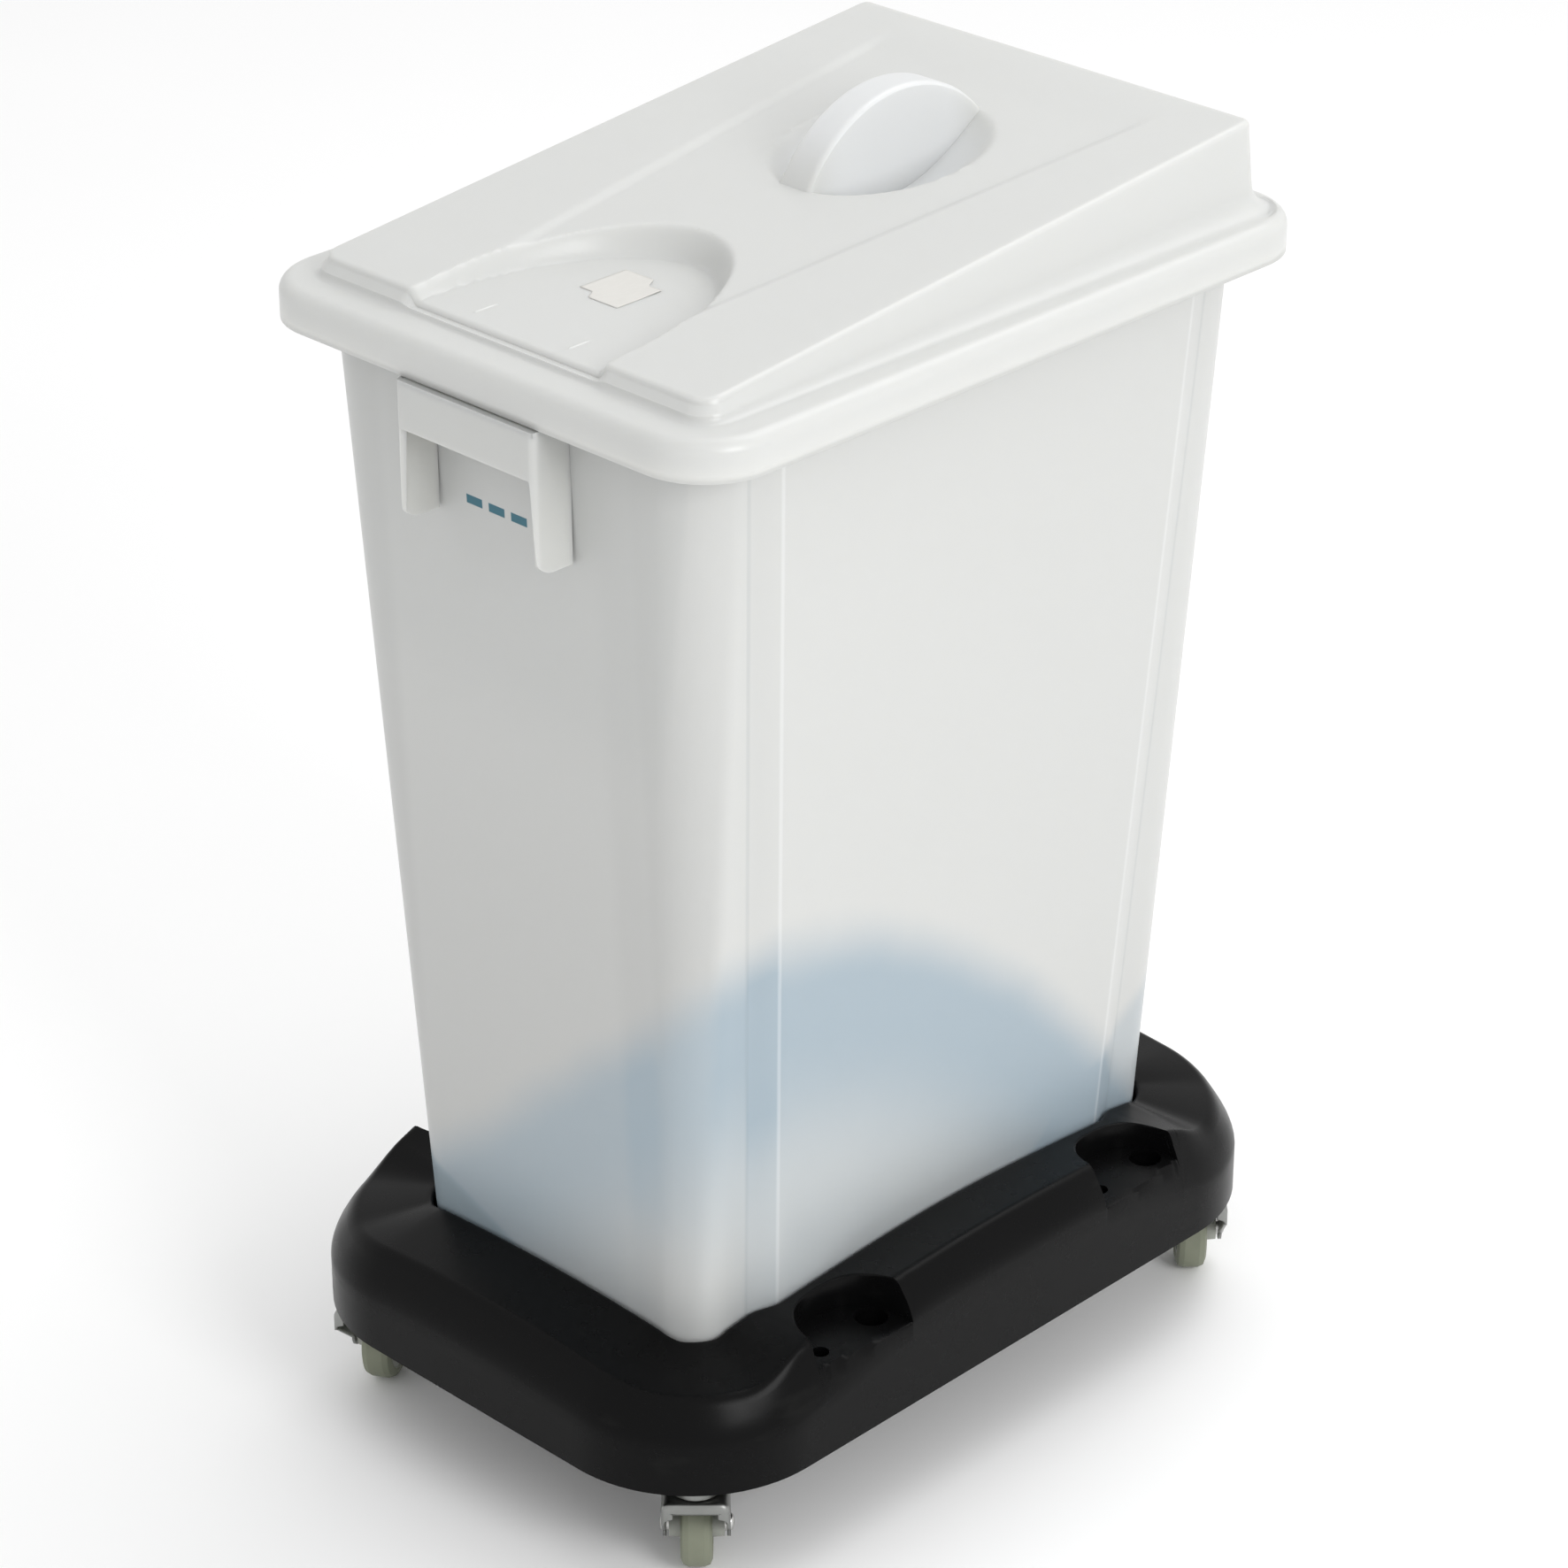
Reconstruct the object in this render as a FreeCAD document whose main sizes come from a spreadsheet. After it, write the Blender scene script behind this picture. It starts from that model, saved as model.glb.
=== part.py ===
"""Slim translucent ingredient bin with a wedge lid, standing in a wheeled dolly.

Frame: +Z up, origin on the floor under the middle of the dolly.  X is the
narrow way across, Y is the long way, and the low front end of the lid is -Y.
"""
import FreeCAD, Part
import math
import os
import Sketcher

V = FreeCAD.Vector
doc = FreeCAD.newDocument("bin_on_dolly")

# ---------------------------------------------------------------- sizes (mm)
SIZES = {
    # casters
    "wheel_diameter": 50.0,
    "tread_width": 18.0,
    "tread_round": 4.5,
    "tyre_depth": 7.0,
    "tyre_lip": 0.8,
    "core_web": 6.0,
    "core_rim": 3.0,
    "core_inset": 1.0,
    "hub_radius": 9.0,
    "hub_taper": 1.0,
    "hub_end_gap": 1.5,
    "sleeve_radius": 5.0,
    "axle_radius": 3.0,
    "axle_end": 6.5,
    "hexagon_radius": 5.55,
    "bolt_head": 4.0,
    "nut_height": 5.0,
    "running_gap": 0.05,
    "caster_trail": 22.0,
    "wheel_side_gap": 8.0,
    "fork_sheet": 2.0,
    "fork_front": 18.0,
    "fork_back": 13.0,
    "fork_round": 4.0,
    "fork_waist": 12.0,
    "fork_belly": 6.0,
    "crown_gap": 12.5,
    "crown_lip": 5.8,
    "leg_front_drop": 15.5,
    "lug_radius": 8.0,
    "kingpin_radius": 5.0,
    "kingpin_head": 2.9,
    "head_overhang": 3.0,
    "head_gap": 0.3,
    "stem_length": 22.0,
    "cup_height": 11.5,
    "cup_radius": 15.0,
    "cup_sheet": 1.6,
    "cup_round": 2.0,
    "cup_gap": 1.0,
    "ball_radius": 2.0,
    "ball_circle": 10.5,
    "ball_gap": 0.3,
    "insert_wall": 3.0,
    "insert_floor": 2.0,
    # dolly
    "ring_side": 65.8,
    "ring_end": 65.1,
    "dolly_corner": 89.0,
    "dolly_wall": 4.0,
    "skirt_drop": 2.0,
    "pivot_inset_x": 41.0,
    "pivot_inset_y": 43.0,
    "shoulder_inset": 13.0,
    "corner_crest": 55.0,
    "side_crest_rise": 26.0,
    "end_crest_rise": 8.0,
    "corner_shoulder": 34.0,
    "side_shoulder_rise": 28.0,
    "well_lip": 64.0,
    "lip_overrun": 8.0,
    "side_lip_rise": 10.0,
    "end_lip_rise": 6.0,
    "well_clearance": 1.5,
    "boss_radius": 17.0,
    "rib_thickness": 3.0,
    "rib_drop": 4.0,
    "cross_rib": 75.0,
    "long_rib": 50.0,
    "pocket_floor": 55.0,
    "pocket_gauge": 3.5,
    "pocket_length": 70.0,
    "pocket_bar": 21.8,
    "pocket_from_end": 139.0,
    "pocket_corner": 13.0,
    "link_hole_radius": 9.5,
    "link_hole_inset": 21.0,
    "link_hole_along": 23.0,
    "lock_hole_radius": 5.0,
    "lock_hole_inset": 17.0,
    "lock_hole_along": 22.0,
    # bin
    "bin_height": 620.0,
    "bin_wall": 2.6,
    "neck_width": 287.2,
    "neck_length": 429.8,
    "neck_corner": 32.0,
    "side_taper": 34.4,
    "end_taper": 24.0,
    "foot_corner": 24.0,
    "panel_step": 7.0,
    "panel_ramp": 18.0,
    "foot_post": 50.9,
    "neck_post": 46.4,
    "rim_lip": 14.0,
    "rim_roll": 7.0,
    "rim_side": 28.4,
    "rim_end": 21.1,
    "grip_width": 104.0,
    "grip_stand_out": 3.5,
    "grip_gap": 1.0,
    "grip_root": 12.0,
    "grip_band": 27.0,
    "grip_fin": 80.0,
    "grip_round": 13.0,
    "grip_sheet": 2.6,
    # lid
    "lid_corner": 42.0,
    "lid_wall": 2.4,
    "lid_gap": 1.1,
    "lid_skirt": 22.4,
    "lid_roll": 8.0,
    "wedge_inset": 24.0,
    "wedge_corner": 9.0,
    "wedge_draft": 4.0,
    "wedge_rise": 30.7,
    "wedge_slope": 0.0925,
    "panel_sink": 2.5,
    "panel_front": 66.0,
    "panel_back": 99.0,
    "panel_front_inset": 40.0,
    "panel_back_inset": 18.0,
    "recess_rise": 5.6,
    "recess_width": 147.0,
    "recess_inset": 24.0,
    "recess_reach": 125.0,
    "recess_draft": 8.0,
    "recess_foot": 8.0,
    "handle_width": 22.4,
    "handle_start": 2.0,
    "handle_end": 138.0,
    "handle_height": 33.0,
    "handle_peak": 0.44,
    "scoop_width": 112.0,
    "scoop_length": 136.0,
    "scoop_depth": 25.0,
    "label_width": 33.0,
    "label_length": 39.0,
    "label_thickness": 0.2,
    "label_inset": 47.0,
    "label_aside": 5.0,
    "label_turn": -3.0,
}
WORKED_OUT = {
    "fork_width": "sizes.tread_width + 2 * (sizes.wheel_side_gap + sizes.fork_sheet)",
    "axle_height": "sizes.wheel_diameter / 2",
    "crown_top": "sizes.wheel_diameter + sizes.crown_gap + sizes.fork_sheet",
    "caster_height": "crown_top + sizes.cup_height",
    "skirt_bottom": "caster_height - sizes.skirt_drop",
    "foot_height": "caster_height + sizes.dolly_wall",
    "foot_width": "sizes.neck_width - 2 * sizes.side_taper",
    "foot_length": "sizes.neck_length - 2 * sizes.end_taper",
    "dolly_width": "foot_width + 2 * sizes.ring_side",
    "dolly_length": "foot_length + 2 * sizes.ring_end",
    "pivot_x": "dolly_width / 2 - sizes.pivot_inset_x",
    "pivot_y": "dolly_length / 2 - sizes.pivot_inset_y",
    "pocket_depth": "sizes.ring_side - sizes.pocket_bar",
    "pocket_position": "dolly_length / 2 - sizes.pocket_from_end",
    "rim_top": "foot_height + sizes.bin_height",
    "lid_top": "rim_top + sizes.lid_wall",
    "neck_height": "lid_top - sizes.lid_skirt",
    "lid_width": "sizes.neck_width + 2 * sizes.rim_side",
    "lid_length": "sizes.neck_length + 2 * sizes.rim_end",
    "wedge_width": "lid_width - 2 * sizes.wedge_inset",
    "wedge_length": "lid_length - 2 * sizes.wedge_inset",
    "recess_floor": "lid_top + sizes.recess_rise",
    "recess_centre": "wedge_length / 2 - sizes.recess_inset",
}
sheet = doc.addObject("Spreadsheet::Sheet", "sizes")
for row, (alias, number) in enumerate(SIZES.items(), start=1):
    sheet.set("A%d" % row, alias.replace("_", " "))
    sheet.set("B%d" % row, str(number))
    sheet.setAlias("B%d" % row, alias)
doc.recompute()
worked = doc.addObject("Spreadsheet::Sheet", "worked")
for row, (alias, formula) in enumerate(WORKED_OUT.items(), start=1):
    worked.set("A%d" % row, alias.replace("_", " "))
    worked.set("B%d" % row, "=" + formula)
    worked.setAlias("B%d" % row, alias)
doc.recompute()


def size(alias):
    """One dimension, read back from the sheet that holds it."""
    holder = sheet if alias in SIZES else worked
    return float(holder.get(alias))


ROUND_SHARE = 1 - math.cos(math.pi / 4)
BEYOND = 5.0
REACH = 400.0
SUB_PARTS = []


def keep(piece, label):
    """Name a finished sub-part and put it on the list that is written out."""
    piece.Label = label
    SUB_PARTS.append(piece)
    return piece


# ------------------------------------------------------- sketches and bodies
def new_body(name):
    return doc.addObject("PartDesign::Body", name)


def new_sketch(body, role, name):
    """A sketch on one of the body's own origin planes."""
    sketch = body.newObject("Sketcher::SketchObject", name)
    plane = [f for f in body.Origin.OriginFeatures if f.Role == role][0]
    sketch.AttachmentSupport = [(plane, "")]
    sketch.MapMode = "FlatFace"
    return sketch


def fix_point(sketch, geometry, end, x_words, y_words):
    """Hold one point at two expressions measured from the sketch's origin."""
    for kind, words in (("DistanceX", x_words), ("DistanceY", y_words)):
        number = sketch.addConstraint(Sketcher.Constraint(kind, -1, 1, geometry, end, 1.0))
        sketch.setExpression("Constraints[%d]" % number, words)


def draw_polygon(sketch, corners):
    """A closed outline whose corners are pairs of expressions."""
    count = len(corners)
    spots = [V(50 * math.cos(math.tau * k / count), 50 * math.sin(math.tau * k / count), 0)
             for k in range(count)]
    first = len(sketch.Geometry)
    for k in range(count):
        sketch.addGeometry(Part.LineSegment(spots[k], spots[(k + 1) % count]))
    for k in range(count):
        after = first + (k + 1) % count
        sketch.addConstraint(Sketcher.Constraint("Coincident", first + k, 2, after, 1))
    for k, (x_words, y_words) in enumerate(corners):
        fix_point(sketch, first + k, 1, x_words, y_words)


def draw_circle(sketch, x_words, y_words, radius_words):
    """A circle held by its centre and radius."""
    geometry = sketch.addGeometry(Part.Circle(V(1, 1, 0), V(0, 0, 1), 2.0))
    fix_point(sketch, geometry, 3, x_words, y_words)
    number = sketch.addConstraint(Sketcher.Constraint("Radius", geometry, 2.0))
    sketch.setExpression("Constraints[%d]" % number, radius_words)


def pad_both_ways(body, sketch, name, length_words):
    pad = body.newObject("PartDesign::Pad", name)
    pad.Profile = sketch
    pad.Midplane = True
    pad.setExpression("Length", length_words)
    return pad


def pocket_both_ways(body, sketch, name, length_words):
    pocket = body.newObject("PartDesign::Pocket", name)
    pocket.Profile = sketch
    pocket.Midplane = True
    pocket.setExpression("Length", length_words)
    return pocket


def turned_piece(name, corners):
    """A turned piece: an outline of (radius, height) carried round local Z."""
    body = new_body(name)
    sketch = new_sketch(body, "XZ_Plane", name + "_outline")
    draw_polygon(sketch, corners)
    turn = body.newObject("PartDesign::Revolution", name + "_turn")
    turn.Profile = sketch
    turn.ReferenceAxis = (sketch, ["V_Axis"])
    turn.Angle = 360.0
    return body


def place(piece, caster, height_words, wheel=False):
    """Stand a caster piece under its pivot, turned to its rest direction."""
    side, end, trail_angle = caster
    turn = math.radians(trail_angle)
    reach = "sizes.caster_trail" if wheel else "0"
    piece.Placement = FreeCAD.Placement(V(0, 0, 0), FreeCAD.Rotation(V(0, 0, 1), trail_angle))
    ahead = "%.6f * %s" % (math.cos(turn), reach)
    aside = "%.6f * %s" % (math.sin(turn), reach)
    piece.setExpression(".Placement.Base.x", "%d * worked.pivot_x + %s" % (side, ahead))
    piece.setExpression(".Placement.Base.y", "%d * worked.pivot_y + %s" % (end, aside))
    piece.setExpression(".Placement.Base.z", height_words)


# ------------------------------------------------------------------ casters
def stem(name):
    """Threaded stem and kingpin in one, headed over under the fork's crown."""
    top = "worked.caster_height"
    head_top = "(worked.crown_top - sizes.fork_sheet - sizes.head_gap)"
    head_edge = "sizes.kingpin_radius + sizes.head_overhang"
    return turned_piece(name, [
        ("0", head_top + " - sizes.kingpin_head"),
        (head_edge, head_top + " - sizes.kingpin_head"),
        (head_edge, head_top),
        ("sizes.kingpin_radius", head_top),
        ("sizes.kingpin_radius", top + " + sizes.stem_length - 1"),
        ("sizes.kingpin_radius - 1", top + " + sizes.stem_length"),
        ("0", top + " + sizes.stem_length"),
    ])


def top_cup(name):
    """Pressed cup against the boss: its turned-down edge covers the balls."""
    top = "worked.caster_height"
    race = "worked.crown_top + 2 * (sizes.ball_radius + sizes.ball_gap)"
    return turned_piece(name, [
        ("sizes.kingpin_radius", top),
        ("sizes.kingpin_radius", race),
        ("sizes.cup_radius - sizes.cup_sheet", race),
        ("sizes.cup_radius - sizes.cup_sheet", "worked.crown_top + sizes.cup_gap"),
        ("sizes.cup_radius", "worked.crown_top + sizes.cup_gap"),
        ("sizes.cup_radius", top + " - sizes.cup_round"),
        ("sizes.cup_radius - sizes.cup_round", top),
    ])


def swivel_balls(name):
    """Ring of loose balls between the cup and the fork's crown."""
    radius = size("ball_radius")
    circle = size("ball_circle")
    count = int(math.tau * circle / (2 * (radius + size("ball_gap"))))
    balls = []
    for k in range(count):
        turn = math.tau * k / count
        balls.append(Part.makeSphere(radius, V(circle * math.cos(turn), circle * math.sin(turn), 0)))
    ring = doc.addObject("Part::Feature", name)
    ring.Shape = Part.makeCompound(balls)
    return ring


def fork(name):
    """Pressed fork: a flat crown with a short front lip and two side legs."""
    body = new_body(name)
    crown = "worked.crown_top"
    axle_height = "worked.axle_height"
    cut = "%.4f * sizes.fork_round" % ROUND_SHARE
    side_view = new_sketch(body, "XZ_Plane", name + "_side")
    draw_polygon(side_view, [
        ("-sizes.fork_front", crown),
        ("-sizes.fork_front", crown + " - sizes.leg_front_drop + sizes.fork_round"),
        ("-sizes.fork_front + " + cut, crown + " - sizes.leg_front_drop + " + cut),
        ("-sizes.fork_front + sizes.fork_round", crown + " - sizes.leg_front_drop"),
        ("sizes.caster_trail - sizes.lug_radius", axle_height + " - 1"),
        ("sizes.caster_trail + sizes.lug_radius", axle_height + " + 1"),
        ("sizes.fork_back + sizes.fork_belly", crown + " - sizes.fork_waist"),
        ("sizes.fork_back", crown),
    ])
    pad_both_ways(body, side_view, name + "_blank", "worked.fork_width")
    lugs = new_sketch(body, "XZ_Plane", name + "_lugs")
    draw_circle(lugs, "sizes.caster_trail", axle_height, "sizes.lug_radius")
    pad_both_ways(body, lugs, name + "_lug_pad", "worked.fork_width")
    channel = new_sketch(body, "XZ_Plane", name + "_channel")
    ahead = "-sizes.fork_front - 5"
    behind = "sizes.caster_trail + sizes.lug_radius + 5"
    inside = "-sizes.fork_front + sizes.fork_sheet"
    draw_polygon(channel, [
        (ahead, "0"),
        (behind, "0"),
        (behind, crown + " - sizes.fork_sheet"),
        (inside, crown + " - sizes.fork_sheet"),
        (inside, crown + " - sizes.crown_lip"),
        (ahead, crown + " - sizes.crown_lip"),
    ])
    pocket_both_ways(body, channel, name + "_hollow", "worked.fork_width - 2 * sizes.fork_sheet")
    axle_holes = new_sketch(body, "XZ_Plane", name + "_axle_holes")
    draw_circle(axle_holes, "sizes.caster_trail", axle_height, "sizes.axle_radius")
    pocket_both_ways(body, axle_holes, name + "_axle_cut", "worked.fork_width + 4")
    pivot_hole = new_sketch(body, "XY_Plane", name + "_pivot_hole")
    draw_circle(pivot_hole, "0", "0", "sizes.kingpin_radius + sizes.running_gap")
    pocket_both_ways(body, pivot_hole, name + "_pivot_cut", "3 * worked.caster_height")
    return body


def across(piece, caster):
    """Lay a turned piece along the axle instead of along Z."""
    lie_down = FreeCAD.Rotation(V(1, 0, 0), 90)
    piece.Placement.Rotation = FreeCAD.Rotation(V(0, 0, 1), caster[2]).multiply(lie_down)


def axle_bolt(name):
    """Hexagon bolt through both legs and the sleeve."""
    reach = "worked.fork_width / 2"
    shank = turned_piece(name, [
        ("0", "-" + reach + " - sizes.axle_end"),
        ("sizes.axle_radius", "-" + reach + " - sizes.axle_end"),
        ("sizes.axle_radius", reach),
        ("0", reach),
    ])
    head = new_sketch(shank, "XY_Plane", name + "_hexagon")
    draw_hexagon(head, "sizes.hexagon_radius")
    pad = shank.newObject("PartDesign::Pad", name + "_head")
    pad.Profile = head
    pad.setExpression("Length", "sizes.bolt_head")
    head.AttachmentOffset = FreeCAD.Placement(V(0, 0, 0), FreeCAD.Rotation())
    head.setExpression(".AttachmentOffset.Base.z", reach)
    return shank


def draw_hexagon(sketch, radius_words):
    """Six corners on a circle, the radius being an expression."""
    corners = []
    for k in range(6):
        turn = math.tau * k / 6
        across_words = "%.6f * %s" % (math.cos(turn), radius_words)
        along_words = "%.6f * %s" % (math.sin(turn), radius_words)
        corners.append((across_words, along_words))
    draw_polygon(sketch, corners)


def axle_nut(name):
    """Lock nut on the far leg."""
    body = new_body(name)
    outline = new_sketch(body, "XY_Plane", name + "_hexagon")
    draw_hexagon(outline, "sizes.hexagon_radius")
    pad = body.newObject("PartDesign::Pad", name + "_pad")
    pad.Profile = outline
    pad.Reversed = True
    pad.setExpression("Length", "sizes.nut_height")
    outline.setExpression(".AttachmentOffset.Base.z", "-worked.fork_width / 2")
    bore = new_sketch(body, "XY_Plane", name + "_bore")
    draw_circle(bore, "0", "0", "sizes.axle_radius")
    pocket_both_ways(body, bore, name + "_cut", "2 * worked.fork_width")
    return body


def axle_sleeve(name):
    """Spacer tube that the wheel runs on, clamped between the legs."""
    end = "(worked.fork_width / 2 - sizes.fork_sheet)"
    return turned_piece(name, [
        ("sizes.axle_radius", "-" + end),
        ("sizes.sleeve_radius", "-" + end),
        ("sizes.sleeve_radius", end),
        ("sizes.axle_radius", end),
    ])


def wheel_core(name):
    """Moulded core: a bored hub, a thin web and a rim that the tyre grips."""
    bore = "sizes.sleeve_radius + sizes.running_gap"
    hub_end = "(worked.fork_width / 2 - sizes.fork_sheet - sizes.hub_end_gap)"
    rim = "sizes.wheel_diameter / 2 - sizes.tyre_depth"
    inside = rim + " - sizes.core_rim"
    edge = "(sizes.tread_width / 2 - sizes.core_inset)"
    return turned_piece(name, [
        (bore, "-" + hub_end),
        ("sizes.hub_radius - sizes.hub_taper", "-" + hub_end),
        ("sizes.hub_radius", "-sizes.core_web / 2"),
        (inside, "-sizes.core_web / 2"),
        (inside, "-" + edge),
        (rim, "-" + edge),
        (rim, edge),
        (inside, edge),
        (inside, "sizes.core_web / 2"),
        ("sizes.hub_radius", "sizes.core_web / 2"),
        ("sizes.hub_radius - sizes.hub_taper", hub_end),
        (bore, hub_end),
    ])


def tyre(name):
    """Round-shouldered grey tread moulded over the core."""
    rim = "sizes.wheel_diameter / 2 - sizes.tyre_depth"
    tread = "sizes.wheel_diameter / 2"
    side = "sizes.tread_width / 2"
    soft = "sizes.tread_round"
    cut = "%.4f * sizes.tread_round" % ROUND_SHARE
    return turned_piece(name, [
        (rim, "-" + side + " + sizes.core_inset"),
        (rim + " + sizes.tyre_lip", "-" + side),
        (tread + " - " + soft, "-" + side),
        (tread + " - " + cut, "-" + side + " + " + cut),
        (tread, "-" + side + " + " + soft),
        (tread, side + " - " + soft),
        (tread + " - " + cut, side + " - " + cut),
        (tread + " - " + soft, side),
        (rim + " + sizes.tyre_lip", side),
        (rim, side + " - sizes.core_inset"),
    ])


CASTERS = {
    "front_right": (1, -1, 134.3),
    "front_left": (-1, -1, 120.6),
    "back_right": (1, 1, 134.3),
    "back_left": (-1, 1, 131.0),
}
for corner, caster in CASTERS.items():
    for label, make, height in (
        ("stem", stem, "0"),
        ("top_cup", top_cup, "0"),
        ("swivel_balls", swivel_balls, "worked.crown_top + sizes.ball_radius + sizes.ball_gap"),
        ("fork", fork, "0"),
    ):
        piece = keep(make(label + "_" + corner + "_work"), label + "_" + corner)
        place(piece, caster, height)
    for label, make in (
        ("axle_bolt", axle_bolt),
        ("axle_nut", axle_nut),
        ("axle_sleeve", axle_sleeve),
        ("wheel_core", wheel_core),
        ("tyre", tyre),
    ):
        piece = keep(make(label + "_" + corner + "_work"), label + "_" + corner)
        place(piece, caster, "worked.axle_height", wheel=True)
        across(piece, caster)


# ------------------------------------------------------ outlines and lofts
def held(low, amount, high):
    return max(low, min(high, amount))


def ease(amount, start, stop):
    """Smooth step: 0 before start, 1 after stop."""
    share = held(0.0, (amount - start) / (stop - start), 1.0)
    return share * share * (3 - 2 * share)


def edge_through(points):
    """A straight edge through two points, or one smooth edge through more."""
    if len(points) == 2:
        return Part.LineSegment(points[0], points[1]).toShape()
    curve = Part.BSplineCurve()
    curve.interpolate(points)
    return curve.toShape()


def corner_points(half_x, half_y, radius, quarter, steps):
    """Points round one quarter of a rounded rectangle, anticlockwise."""
    sign_x, sign_y = ((1, 1), (-1, 1), (-1, -1), (1, -1))[quarter]
    centre = V(sign_x * (half_x - radius), sign_y * (half_y - radius), 0)
    start = quarter * math.pi / 2
    turns = [start + math.pi / 2 * k / steps for k in range(steps + 1)]
    return [centre + V(radius * math.cos(a), radius * math.sin(a), 0) for a in turns]


def rounded_outline(half_x, half_y, radius, height):
    """Rounded rectangle whose height may be a number or a function of x, y."""
    rise = height if callable(height) else (lambda x, y: height)
    corners = [corner_points(half_x, half_y, radius, quarter, 8) for quarter in range(4)]
    edges = []
    for quarter in range(4):
        ahead = corners[(quarter + 1) % 4][0]
        behind = corners[quarter][-1]
        side = [behind + (ahead - behind) * (k / 16) for k in range(17)]
        for run in (corners[quarter], side):
            edges.append(edge_through([V(q.x, q.y, rise(q.x, q.y)) for q in run]))
    return Part.Wire(edges)


def slab(half_x, half_y, radius, low, high):
    """Upright block with rounded corners."""
    face = Part.Face(rounded_outline(half_x, half_y, radius, low))
    return face.extrude(V(0, 0, high - low))


def block(x_range, y_range, z_range):
    corner = V(x_range[0], y_range[0], z_range[0])
    return Part.makeBox(x_range[1] - x_range[0], y_range[1] - y_range[0], z_range[1] - z_range[0], corner)


def roll_top(solid, top, radius):
    """The solid with the outline of its top face rounded over."""
    edges = [e for e in solid.Edges if abs(e.CenterOfMass.z - top) < 0.01]
    return solid.makeFillet(radius, edges)


def moulding(name, shape):
    """A moulded shell made by Part's own functions from the sheet's sizes."""
    piece = doc.addObject("Part::Feature", name + "_work")
    piece.Shape = shape
    return keep(piece, name)


# ---------------------------------------------------------------------- bin
def bin_section(height, inset):
    """Bin outline at a height: rounded corners and a long-side panel stood out."""
    foot, neck = size("foot_height"), size("neck_height")
    share = (height - foot) / (neck - foot)

    def along(word):
        low, high = size("foot_" + word), size("neck_" + word)
        return low + (high - low) * share

    half_x = along("width") / 2 - inset
    half_y = along("length") / 2 - inset
    radius = along("corner") - inset
    panel = along("length") / 2 - along("post") - inset * 0.2
    step, ramp = size("panel_step"), size("panel_ramp")
    side = [
        V(half_x, -panel - ramp / 2, height),
        V(half_x + step, -panel + ramp / 2, height),
        V(half_x + step, panel - ramp / 2, height),
        V(half_x, panel + ramp / 2, height),
    ]
    runs = []
    for quarter in range(4):
        corner = [V(q.x, q.y, height) for q in corner_points(half_x, half_y, radius, quarter, 8)]
        runs.append(corner)
        if quarter == 0 or quarter == 2:
            runs.append([corner[-1], V(-corner[-1].x, corner[-1].y, height)])
        else:
            mirror = -1 if quarter == 1 else 1
            turned = [V(mirror * q.x, mirror * q.y, height) for q in side]
            stops = [corner[-1]] + turned + [V(corner[-1].x, -corner[-1].y, height)]
            runs.extend([a, b] for a, b in zip(stops[:-1], stops[1:]))
    return Part.Wire([edge_through(run) for run in runs])


def bin_prism(low, high, inset):
    """Tapered bin solid between two heights, its walls moved in by inset."""
    return Part.makeLoft([bin_section(low, inset), bin_section(high, inset)], True, True)


def grip_solid(end):
    """Downward-open grip: two side fins, a front band and a top web."""
    reach = size("lid_length") / 2 + size("grip_stand_out")
    top = size("neck_height") - size("grip_gap")
    gauge = size("grip_sheet")
    half = size("grip_width") / 2
    wall_y = size("neck_length") / 2 - size("grip_root")
    round_off = size("grip_round")
    fin_bottom = top - size("grip_fin")
    corner = [
        V(0, -wall_y, top),
        V(0, -reach, top),
        V(0, -reach, fin_bottom + round_off),
        V(0, -reach + ROUND_SHARE * round_off, fin_bottom + ROUND_SHARE * round_off),
        V(0, -reach + round_off, fin_bottom),
        V(0, -wall_y, fin_bottom),
        V(0, -wall_y, top),
    ]
    outline = Part.Face(Part.makePolygon(corner))
    solid = outline.extrude(V(2 * half, 0, 0))
    solid.translate(V(-half, 0, 0))
    clear_x = (-half + gauge, half - gauge)
    below = fin_bottom - BEYOND
    hollow = block(clear_x, (-reach + gauge, 0), (below, top - gauge))
    mouth = block(clear_x, (-reach - BEYOND, -wall_y), (below, top - size("grip_band")))
    solid = solid.cut([hollow, mouth])
    if end > 0:
        solid.rotate(V(0, 0, 0), V(0, 0, 1), 180)
    return solid


def bin_shape():
    foot, wall = size("foot_height"), size("bin_wall")
    rim_top = size("rim_top")
    inset = size("lid_wall") + size("lid_gap")
    half_x, half_y = size("lid_width") / 2 - inset, size("lid_length") / 2 - inset
    radius = size("lid_corner") - inset
    low = rim_top - size("rim_lip")
    outside = bin_prism(foot, rim_top, 0.0)
    rim = slab(half_x, half_y, radius, low, rim_top)
    under_rim = slab(half_x - wall, half_y - wall, radius - wall, low - BEYOND, rim_top - wall)
    roll = size("rim_roll")
    rim = roll_top(rim, rim_top, roll)
    under_rim = roll_top(under_rim, rim_top - wall, roll - wall)
    rim = rim.cut(under_rim.cut(outside))
    solid = outside.fuse([rim, grip_solid(-1), grip_solid(1)])
    inside = bin_prism(foot + wall, rim_top + BEYOND, wall)
    return solid.cut(inside)


moulding("bin_body", bin_shape())


# -------------------------------------------------------------------- dolly
# Where its arched edges are flat and where they have come down, as shares of
# its length measured from the middle; an end's arch as a share of the width.
CREST_FLAT = 0.27
CREST_BOW = 0.29
SHOULDER_FLAT = 0.11
ARCH_FOOT = 0.39
END_FOOT = 0.37


def side_share(y, start):
    """1 along the middle of a long side, easing to 0 towards the corners."""
    length = size("dolly_length")
    return 1 - ease(abs(y), start * length, ARCH_FOOT * length)


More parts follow.
